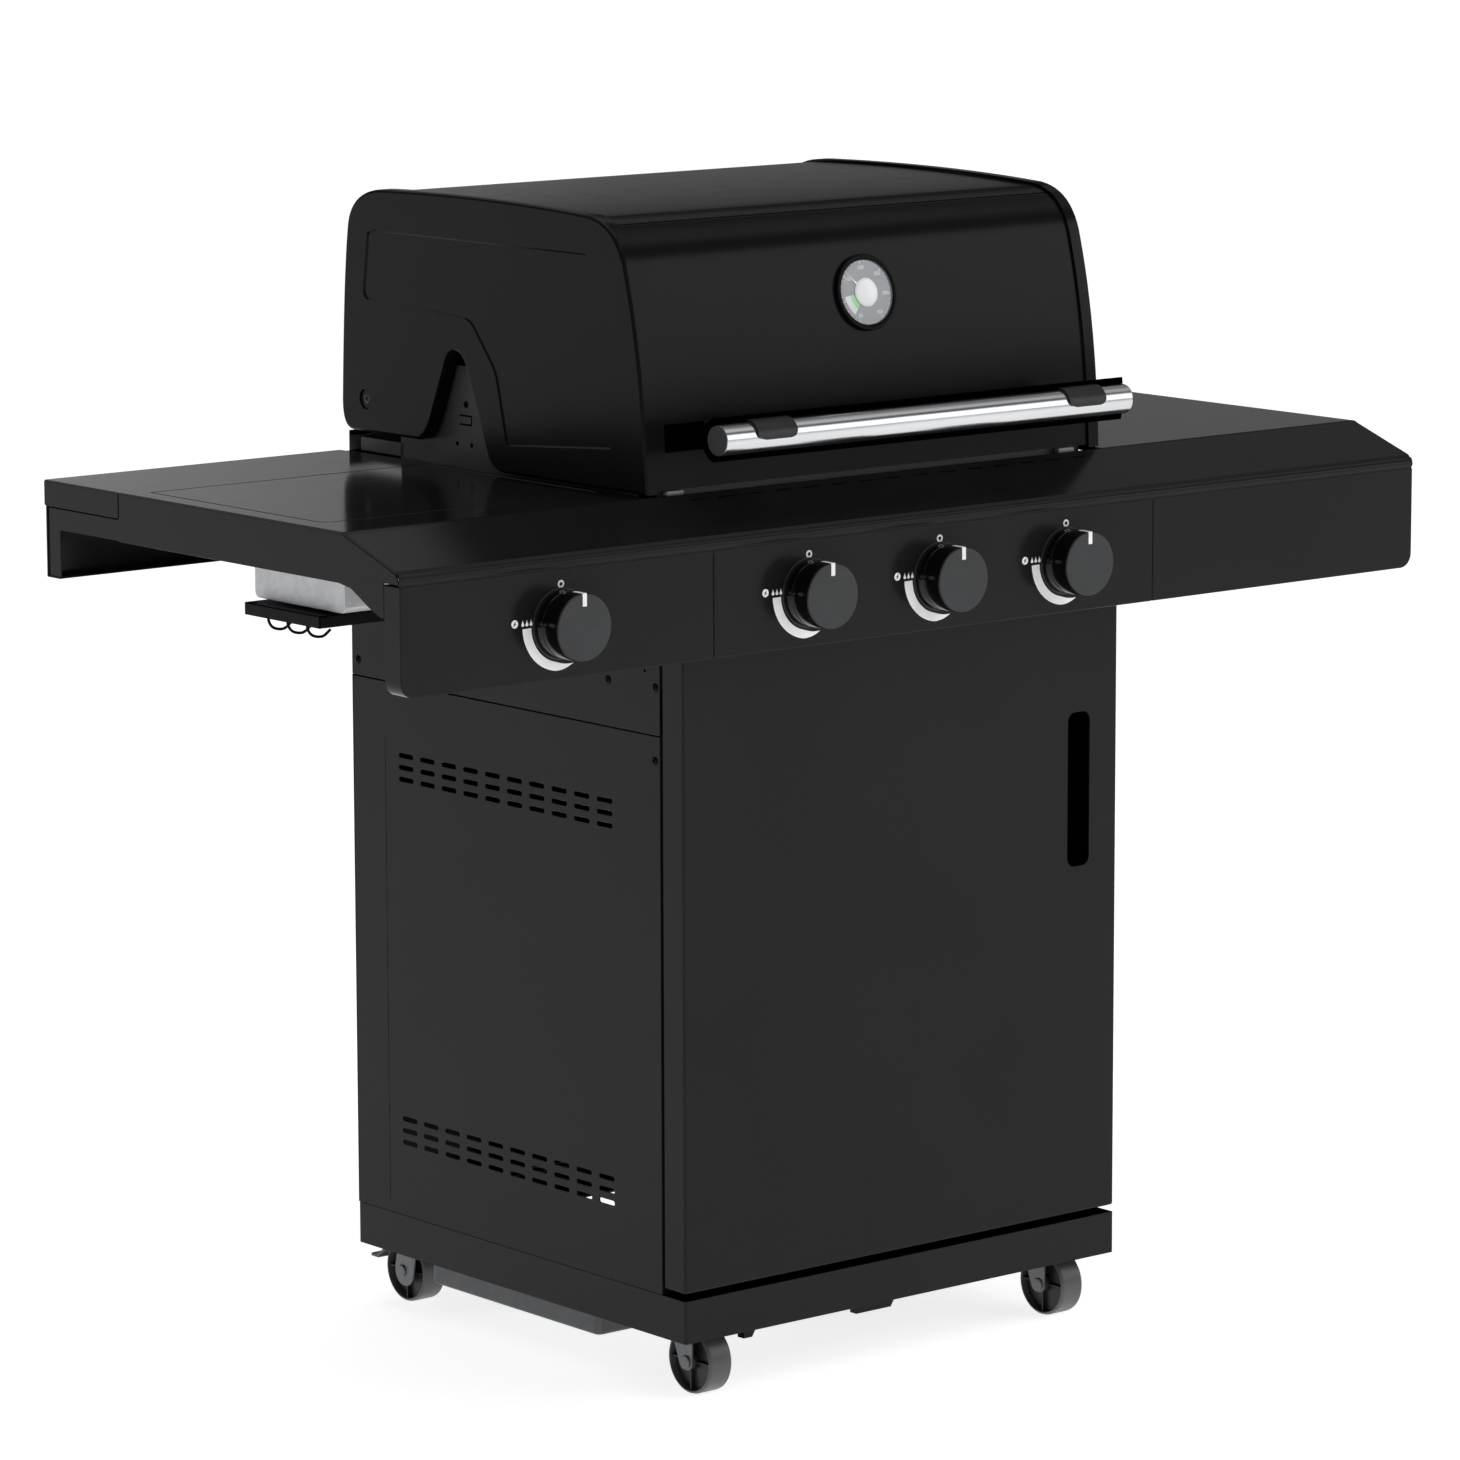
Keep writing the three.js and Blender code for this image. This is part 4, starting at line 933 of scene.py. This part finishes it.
for name, side in SIDES:
    face = side * abs(cap_low.x)
    bm = bmesh.new()
    stack = [ring(bm, "x", face - side * depth, inset(cap_loop, inward)) for depth, inward in cap_levels]
    bridge(bm, *stack)
    step_outer = ring(bm, "x", face, EMBOSS)
    step_inner = ring(bm, "x", face - side * EMBOSS_DEPTH, inset(EMBOSS, EMBOSS_SLOPE))
    bridge(bm, step_outer, step_inner)
    recess = [ring(bm, "x", face - side * depth, circle(hinge_y, hinge_z, radius, 32))
              for depth, radius in ((0, HINGE_RECESS), (0.5, HINGE_RECESS - 0.6), (6, HINGE_RECESS - 0.6))]
    bridge(bm, *recess)
    cover(bm, stack[0], [step_outer, recess[0]])
    for closed in (step_inner, recess[-1], stack[-1]):
        cover(bm, closed)
    piece(f"hood_end_{name}", bm, "enamel", "hood", [f"lid_cap_{name}"])
    # The hinge screw sits at the bottom of a round recess, on a near-black disc: painted shade on the
    # recess floor.
    screws(f"hinge_recess_shade_{name}", [(face - side * 5.9, hinge_y, hinge_z)], (side, 0, 0), "recess", "hood",
           HINGE_RECESS - 0.8)
    screws(f"hinge_screw_{name}", [(face - side * 4.4, hinge_y, hinge_z)], (side, 0, 0), "tread", "hood",
           6.0, 3.4)

# The skin: one bent sheet between the end caps, with the joint between its top and front.
SKIN_INSET = 2.5
SKIN_WALL = 3.4
JOINT_DEPTH = 2.6
JOINT_WIDTH = 3.2
JOINT_Y = -122.0
CLOSING_Z = 830.0
crown_points = crown(16)
closed = crown_points + [Vector((HOOD_BACK - 60, CLOSING_Z)), Vector((HOOD_FRONT + 60, CLOSING_Z))]
outer_line, inner_line = [
    [Vector((p.x, max(p.y, skin_low.z))) for p in inset(closed, distance)[:len(crown_points)]]
    for distance in (SKIN_INSET, SKIN_INSET + SKIN_WALL)]
grooved = []
for point, following in zip(outer_line, outer_line[1:] + outer_line[-1:]):
    grooved.append(point)
    if point.x > JOINT_Y >= following.x and point.y > 1000:
        lip = point.lerp(following, (point.x - JOINT_Y) / (point.x - following.x))
        along = (following - point).normalized()
        down = Vector((-along.y, along.x))
        down = -down if down.y > 0 else down
        floor_start = lip + down * JOINT_DEPTH
        floor_end = floor_start + along * JOINT_WIDTH
        grooved += [lip, floor_start, floor_end, lip + along * JOINT_WIDTH]
        joint_shade_strip = [floor_start, floor_end, floor_end - down * 0.15, floor_start - down * 0.15]
single("hood_skin", "enamel", "hood", slab, "x", skin_low.x, skin_high.x, grooved + inner_line[::-1],
       0.05, 1, replaces=["lid_skin"])
# A near-black strip on the groove's floor: painted shade in the joint.
single("hood_joint_shade", "recess", "hood", slab, "x", skin_low.x, skin_high.x, joint_shade_strip, 0.02, 1)

# Black stops on the cart under the hood's front corners, and rubber bumpers under its front edge.
BUMPERS = (-243.0, 238.0)
for name, side in SIDES:
    single(f"hood_stop_{name}", "recess", "cart", box, (side * 262.5, -179.0, 842.6),
           (side * 278.0, -170.0, 845.8), 0.8, 2)
for index, x in enumerate(BUMPERS):
    single(f"hood_bumper_{index + 1}", "pad", "hood", box, (x - 10, HOOD_FRONT + 2.2, 843.4),
           (x + 10, HOOD_FRONT + 9, 847.5))

# ---- hood handle ----
TUBE_TRIM = 5.0
TUBE_SET_BACK = 5.0
SADDLE_SHIFT = 1.5
low, high = corners("handle_tube")
tube_radius = (high.z - low.z) / 2
tube_centre = (low + high) / 2 + Vector((0, TUBE_SET_BACK, 0))
low.x += TUBE_TRIM
high.x -= TUBE_TRIM
axle = lying((0, tube_centre.y, tube_centre.z))
single("handle_bar", "steel", "hood", lathe,
       [(tube_radius - 2, low.x), (tube_radius - 0.4, low.x), (tube_radius, low.x + 0.4),
        (tube_radius, high.x - 0.4), (tube_radius - 0.4, high.x), (tube_radius - 2, high.x),
        (tube_radius - 2, low.x)], 64, axle, replaces=["handle_tube"])
for name, x, side in (("left", low.x, 1), ("right", high.x, -1)):
    single(f"handle_plug_{name}", "tube_cap", "hood", lathe,
           [(0, x - side), (tube_radius - 0.9, x - side), (tube_radius - 0.2, x - side * 0.4),
            (tube_radius - 0.1, x), (tube_radius - 2.05, x), (tube_radius - 2.05, x + side * 12),
            (0, x + side * 12)], 64, axle)


def tube_patch(bm, x0, x1, start, end, inner, outer, corner=0.0, steps=20):
    """A curved plate on the tube between two angles; its lower corners are rounded off."""
    stack = []
    for k in range(steps + 1):
        angle = start + (end - start) * k / steps
        climb = math.radians(angle - start) * outer
        trim = 0.0
        if climb < corner:
            trim = corner - math.sqrt(max(0.0, corner ** 2 - (corner - climb) ** 2))
        turn = math.radians(angle)
        section = ((x0 + trim, inner), (x0 + trim, outer), (x1 - trim, outer), (x1 - trim, inner))
        across = Vector((0, -math.cos(turn), math.sin(turn)))
        axis = Vector((0, tube_centre.y, tube_centre.z))
        stack.append([bm.verts.new(axis + across * r + Vector((x, 0, 0))) for x, r in section])
    bridge(bm, *stack)
    cover(bm, stack[0])
    cover(bm, stack[-1])


# Behind the tube runs a rail in the near-black recess finish, a real rail that also paints the shade behind
# the tube; two saddles reach from it over the top of the tube.
single("handle_rail", "recess", "hood", tube_patch, low.x - 1.5, high.x + 1.5, 98, 258, tube_radius + 0.15,
       tube_radius + 6.5)
for name, side in SIDES:
    mount_low, mount_high = corners(f"handle_mount_{name}")
    shift = -side * SADDLE_SHIFT
    bm = bmesh.new()
    tube_patch(bm, mount_low.x + 2 + shift, mount_high.x - 2 + shift, -4, 120, tube_radius + 0.2,
               tube_radius + 2.4, 8.0, 30)
    box(bm, (mount_low.x + 7, tube_centre.y + tube_radius, tube_centre.z - 9),
        (mount_high.x - 7, mount_high.y - 0.6, tube_centre.z + 9), 2.0)
    piece(f"handle_saddle_{name}", bm, "plastic", "hood", [f"handle_mount_{name}"])

# A near-black band on the hood behind the handle: painted shade, standing in for the handle's shadow and
# dark reflection on the hood.
STRIP_HALF = 253.0
STRIP_LOW = 883.0
STRIP_HIGH = 908.0
STRIP_ROWS = 5


def skin_y(z):
    """Where the hood's front skin is at a height."""
    front = sorted(((p.y, p.x) for p in outer_line if p.x < 0), key=lambda pair: pair[0])
    for (z0, y0), (z1, y1) in zip(front, front[1:]):
        if z0 <= z <= z1 and z1 > z0:
            return y0 + (y1 - y0) * (z - z0) / (z1 - z0)
    return front[0][1]


levels = [STRIP_LOW + (STRIP_HIGH - STRIP_LOW) * k / STRIP_ROWS for k in range(STRIP_ROWS + 1)]
strip = [(skin_y(z) - 0.8, z) for z in levels] + [(skin_y(z) + 0.3, z) for z in reversed(levels)]
single("handle_shade_band", "recess", "hood", slab, "x", -STRIP_HALF, STRIP_HALF, strip, 0.1, 1)

# ---- thermometer ----
gauge = facing(pivot("thermometer_needle_turn"), JOINTS["thermometer_needle_turn"]["axis"])
GAUGE_RADIUS = 36.0
DIAL_RADIUS = 30.6
PRINT_LEVELS = (1.5, 1.72)
SCALE_START = 205
SCALE_STEP = 50
SCALE_LABELS = 7
TICKS_PER_STEP = 5
ZONE = (219, 264)
NEEDLE_CLOCK = -48.7
HUB = 13.6
single("gauge_bezel", "screw", "hood", lathe,
       [(DIAL_RADIUS - 0.5, 1.0), (DIAL_RADIUS, 2.6), (DIAL_RADIUS + 1.4, 3.9), (GAUGE_RADIUS - 1.8, 4.4),
        (GAUGE_RADIUS - 0.5, 3.8), (GAUGE_RADIUS, 2.6), (GAUGE_RADIUS, 0.9), (GAUGE_RADIUS - 1.5, 0.1),
        (DIAL_RADIUS - 0.5, 0.1), (DIAL_RADIUS - 0.5, 1.0)], 96, gauge, replaces=["thermometer_case"])
single("gauge_dial", "dial", "hood", lathe,
       [(0, 1.6), (DIAL_RADIUS - 0.2, 1.6), (DIAL_RADIUS - 0.2, 0.3), (3, 0.3), (3, -40), (0, -42)], 72,
       gauge)


def on_dial(radius, clock):
    """A point on the dial at a radius and an angle in degrees clockwise from the top."""
    turn = math.radians(clock)
    return Vector((radius * math.sin(turn), radius * math.cos(turn)))


def sector(inner, outer, start, end, steps=12):
    angles = [start + (end - start) * k / steps for k in range(steps + 1)]
    return [on_dial(outer, a) for a in angles] + [on_dial(inner, a) for a in reversed(angles)]


bm = bmesh.new()
for index in range((SCALE_LABELS - 1) * TICKS_PER_STEP + 1):
    clock = SCALE_START + index * SCALE_STEP / TICKS_PER_STEP
    tick_start = 28.6 if index % TICKS_PER_STEP else 27.4
    slab(bm, "z", *PRINT_LEVELS, sector(tick_start, 29.8, clock - 0.7, clock + 0.7, 1), 0.02, 1)
piece("gauge_ticks", bm, "print", "hood", transform=gauge)
for name, finish, inner, outer in (("outer", "print", 19.2, 25.6), ("inner", "print_green", 14.4, 19.2)):
    single(f"gauge_zone_{name}", finish, "hood", slab, "z", *PRINT_LEVELS, sector(inner, outer, *ZONE),
           0.02, 1, transform=gauge)
for index in range(SCALE_LABELS):
    text = bpy.data.curves.new(f"gauge_number_{index + 1}", "FONT")
    text.body = str(50 * (index + 1))
    text.size = 5.2 * MM
    text.extrude = 0.12 * MM
    text.align_x = "CENTER"
    text.align_y = "CENTER"
    label = bpy.data.objects.new(f"gauge_number_{index + 1}", text)
    spot = on_dial(23.6, SCALE_START + index * SCALE_STEP)
    label.matrix_world = (Matrix.Scale(MM, 4) @ gauge @ Matrix.Translation((spot.x, spot.y, 1.65))
                          @ Matrix.Scale(1 / MM, 4))
    scene.collection.objects.link(label)
    label.data.materials.append(FINISHES["print"][0])
    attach(label, "hood")

# The pointer and its domed hub, under the glass; the hub's white is a painted reflection, standing in for a
# shiny dome that shines white.
bm = bmesh.new()
pointer = [on_dial(10, NEEDLE_CLOCK - 7), on_dial(10, NEEDLE_CLOCK + 7), on_dial(28.4, NEEDLE_CLOCK)]
slab(bm, "z", 2.35, 2.75, pointer, 0.05, 1)
lathe(bm, [(0, 4.1), (HUB * 0.5, 4.0), (HUB * 0.8, 3.7), (HUB * 0.93, 3.3), (HUB, 2.6), (HUB, 2.2),
           (0, 2.2)], 64, Matrix.Identity(4))
piece("gauge_pointer", bm, "hub", "needle", ["thermometer_needle"], transform=gauge)
single("gauge_glass", "glass", "hood", lathe,
       [(0, 4.32), (DIAL_RADIUS - 0.3, 4.2), (DIAL_RADIUS - 0.3, 3.9), (0, 4.15)], 72, gauge)

# ---- casters ----
WHEEL_SPOKES = 4
FORK_GAP = 1.0
FORK_WALL = 2.1
FRONT_EYE = 8.5
REAR_EYE = 15.0
TAB_TOP = 41.5


def wheel(bm, profile, sides, matrix):
    """Turns half a wheel's profile and its mirror image about the matrix's Z axis."""
    lathe(bm, profile + [(r, -h) for r, h in reversed(profile)] + [profile[0]], sides, matrix)


for name in ("front_left", "front_right", "rear_left", "rear_right"):
    low, high = corners(f"caster_wheel_{name}")
    middle = (low + high) / 2
    radius = (high.z - low.z) / 2
    half = (high.x - low.x) / 2
    turned = lying(middle)
    single(f"wheel_tread_{name}", "tread", f"wheel_{name}", wheel,
           [(radius - 3.6, half - 6.5), (radius - 3.2, half - 0.5), (radius - 2.6, half),
            (radius - 1.8, half - 0.2), (radius - 0.5, half - 1.4), (radius, half - 3.5)], 64, turned)
    bm = bmesh.new()
    wheel(bm, [(3.4, half), (7.5, half), (8.5, half - 1.2), (8.8, half - 6.0), (radius - 3.4, half - 6.6)],
          48, turned)
    for spoke in range(WHEEL_SPOKES):
        turn = Matrix.Rotation(2 * math.pi * spoke / WHEEL_SPOKES + math.pi / 2, 4, "Z")
        for side in (-1, 1):
            before = len(bm.verts)
            box(bm, (8.2, -0.8, side * (half - 6.8)), (radius - 3.3, 0.8, side * (half - 2.2)), 0.4, 2)
            bmesh.ops.transform(bm, matrix=turned @ turn, verts=list(bm.verts)[before:])
    piece(f"wheel_hub_{name}", bm, "wheel_disc", f"wheel_{name}", [f"caster_wheel_{name}"])

    # The fork: two tapered arms, a bridge, the swivel race, the kingpin and the wheel's bolt.
    low, high = corners(f"caster_fork_{name}")
    bridge_z = 2 * radius + 3
    eye = REAR_EYE if name.startswith("rear") else FRONT_EYE
    arm = rounded([(middle.y - eye, middle.z - eye, eye * 0.95),
                   (middle.y + eye, middle.z - eye, eye * 0.95), (high.y, bridge_z - 8, 3),
                   (high.y, bridge_z + 2, 2), (low.y, bridge_z + 2, 2), (low.y, bridge_z - 8, 3)], 8)
    arm_in = half + FORK_GAP
    arm_out = arm_in + FORK_WALL
    bm = bmesh.new()
    for side in (-1, 1):
        slab(bm, "x", middle.x + side * arm_in, middle.x + side * arm_out, arm)
    box(bm, (middle.x - arm_out, low.y, bridge_z), (middle.x + arm_out, high.y, bridge_z + 3), 0.8, 2)
    upright = Matrix.Translation((middle.x, pivot(f"swivel_{name}").y, 0))
    lathe(bm, [(0, bridge_z + 2), (12, bridge_z + 2), (13, bridge_z + 4), (13, bridge_z + 6),
               (11.5, bridge_z + 9), (5, bridge_z + 10), (5, high.z), (0, high.z)], 32, upright)
    reach = half + 5.1
    bolt = [(0, reach), (5.0, reach), (5.8, reach - 0.7), (5.8, half + 3.0), (3, half + 3.0)]
    lathe(bm, [(r, -h) for r, h in bolt] + bolt[::-1], 24, turned)
    piece(f"fork_{name}", bm, "fork_zinc", f"fork_{name}", [f"caster_fork_{name}"])

for name in ("rear_left", "rear_right"):
    low, high = corners(f"brake_lever_{name}")
    bm = bmesh.new()
    box(bm, (low.x, high.y - 12, low.z), (high.x, high.y, TAB_TOP), 1.2)
    cheek = rounded([(low.y, 50, 1.5), (low.y, high.z, 2), (low.y + 10, high.z, 2),
                     (high.y - 9, TAB_TOP, 1), (high.y - 9, low.z, 1), (low.y + 12, 52, 3)], 3)
    for x0, x1 in ((low.x, low.x + 1.6), (high.x - 1.6, high.x)):
        slab(bm, "x", x0, x1, cheek, 0.4)
    piece(f"foot_brake_{name}", bm, "firebox", f"brake_{name}", [f"brake_lever_{name}"])

# ---- stage: floor, light and camera ----
FLOOR_HALF = 40.0
FLOOR_GLOW = 0.8
floor_material, floor_tree, floor_shader = principled("studio_floor", (0.9, 0.9, 0.9), 0.9, specular=0.1)
floor_tone = [(stop, (grey, grey, grey)) for stop, grey in zip(TONE_STOPS, (0.895, 0.905))]
floor_color = color_ramp(floor_tree, noise(floor_tree, 0.8), floor_tone)
connect(floor_tree, floor_shader, {"Emission Color": (1, 1, 1, 1), "Emission Strength": FLOOR_GLOW,
                                   "Base Color": floor_color})
floor_mesh = bpy.data.meshes.new("studio_floor")
floor_mesh.from_pydata([(-FLOOR_HALF, -FLOOR_HALF, 0), (FLOOR_HALF, -FLOOR_HALF, 0),
                        (FLOOR_HALF, FLOOR_HALF, 0), (-FLOOR_HALF, FLOOR_HALF, 0)], [], [(0, 1, 2, 3)])
floor_mesh.materials.append(floor_material)
floor = bpy.data.objects.new("studio_floor", floor_mesh)
scene.collection.objects.link(floor)

world = bpy.data.worlds.new("studio")
scene.world = world
world.use_nodes = True
sky = world.node_tree


def wall(height, stops):
    """A studio wall: greys by height."""
    return color_ramp(sky, height, [(position, (grey, grey, grey * 1.02)) for position, grey in stops])


def sky_mix(kind, factor, first, second):
    mix = sky.nodes.new("ShaderNodeMix")
    mix.data_type = "RGBA"
    mix.blend_type = kind
    connect(sky, mix, {"Factor": factor})
    sky.links.new(first, mix.inputs["A"])
    sky.links.new(second, mix.inputs["B"])
    return mix.outputs["Result"]


# Grey studio walls by height: behind the grill they are pale near the floor and dark above it, and
# both walls are darker to the far left. The camera sees plain white.
BACK_WALL = [(0.0, 0.55), (0.155, 0.55), (0.18, 0.33), (0.22, 0.08), (0.45, 0.08), (0.58, 0.9), (0.64, 0.9),
             (0.71, 0.1), (0.9, 0.1), (1.0, 0.5)]
FRONT_WALL = [(0.0, 0.3), (0.15, 0.4), (0.35, 0.5), (0.5, 0.2), (0.66, 0.1), (0.74, 1.0), (0.8, 1.0),
              (0.88, 0.2), (1.0, 0.5)]
direction = add_node(sky, "TexCoord").outputs["Generated"]
axes = add_node(sky, "SeparateXYZ", {"Vector": direction}).outputs
right_fade = map_range(sky, axes["X"], 0.545, 0.62, 0.84, 0.36)
back_wall = sky_mix("MULTIPLY", 1.0, wall(axes["Z"], BACK_WALL), right_fade)
to_back = map_range(sky, axes["Y"], -0.3, 0.3, 0.0, 1.0)
walls = sky_mix("MIX", to_back, wall(axes["Z"], FRONT_WALL), back_wall)
walls = sky_mix("MULTIPLY", 1.0, walls, map_range(sky, axes["X"], -0.8, -0.2, 0.35, 1.0))
background = sky.nodes["Background"]
connect(sky, background, {"Color": walls})
white = add_node(sky, "Background", {"Color": (1, 1, 1, 1), "Strength": 1.05})
chosen = add_node(sky, "MixShader", {"Fac": add_node(sky, "LightPath").outputs["Is Camera Ray"]})
sky.links.new(background.outputs["Background"], chosen.inputs[1])
sky.links.new(white.outputs["Background"], chosen.inputs[2])
sky.links.new(chosen.outputs["Shader"], sky.nodes["World Output"].inputs["Surface"])


def softbox(name, location, target, width, height, power):
    light = bpy.data.lights.new(name, "AREA")
    light.shape = "RECTANGLE"
    light.size = width
    light.size_y = height
    light.energy = power
    lamp = bpy.data.objects.new(name, light)
    lamp.location = location
    lamp.rotation_euler = (Vector(target) - Vector(location)).to_track_quat("-Z", "Y").to_euler()
    scene.collection.objects.link(lamp)


softbox("key", (-3.2, -2.6, 3.6), (0, 0, 0.6), 2.6, 2.6, 4)
softbox("fill", (3.2, -3.6, 2.4), (0, 0, 0.8), 3.4, 2.4, 40)
softbox("top", (0.0, 0.4, 4.2), (0, 0, 0.9), 3.0, 3.0, 30)

YAW = math.radians(39.529)
PITCH = math.radians(9.677)
ROLL = math.radians(-0.16)
CAMERA_PLACE = (-3.8720, -4.6558, 1.6094)
look = Vector((math.sin(YAW) * math.cos(PITCH), math.cos(YAW) * math.cos(PITCH), -math.sin(PITCH)))
camera_data = bpy.data.cameras.new("camera")
camera_data.sensor_width = 36
camera_data.lens = 157.66
camera_data.clip_end = 200
camera = bpy.data.objects.new("camera", camera_data)
camera.matrix_world = (Matrix.Translation(CAMERA_PLACE) @ look.to_track_quat("-Z", "Y").to_matrix().to_4x4()
                       @ Matrix.Rotation(ROLL, 4, "Z"))
scene.collection.objects.link(camera)
scene.camera = camera
scene.view_settings.view_transform = "Standard"

bpy.context.view_layer.update()
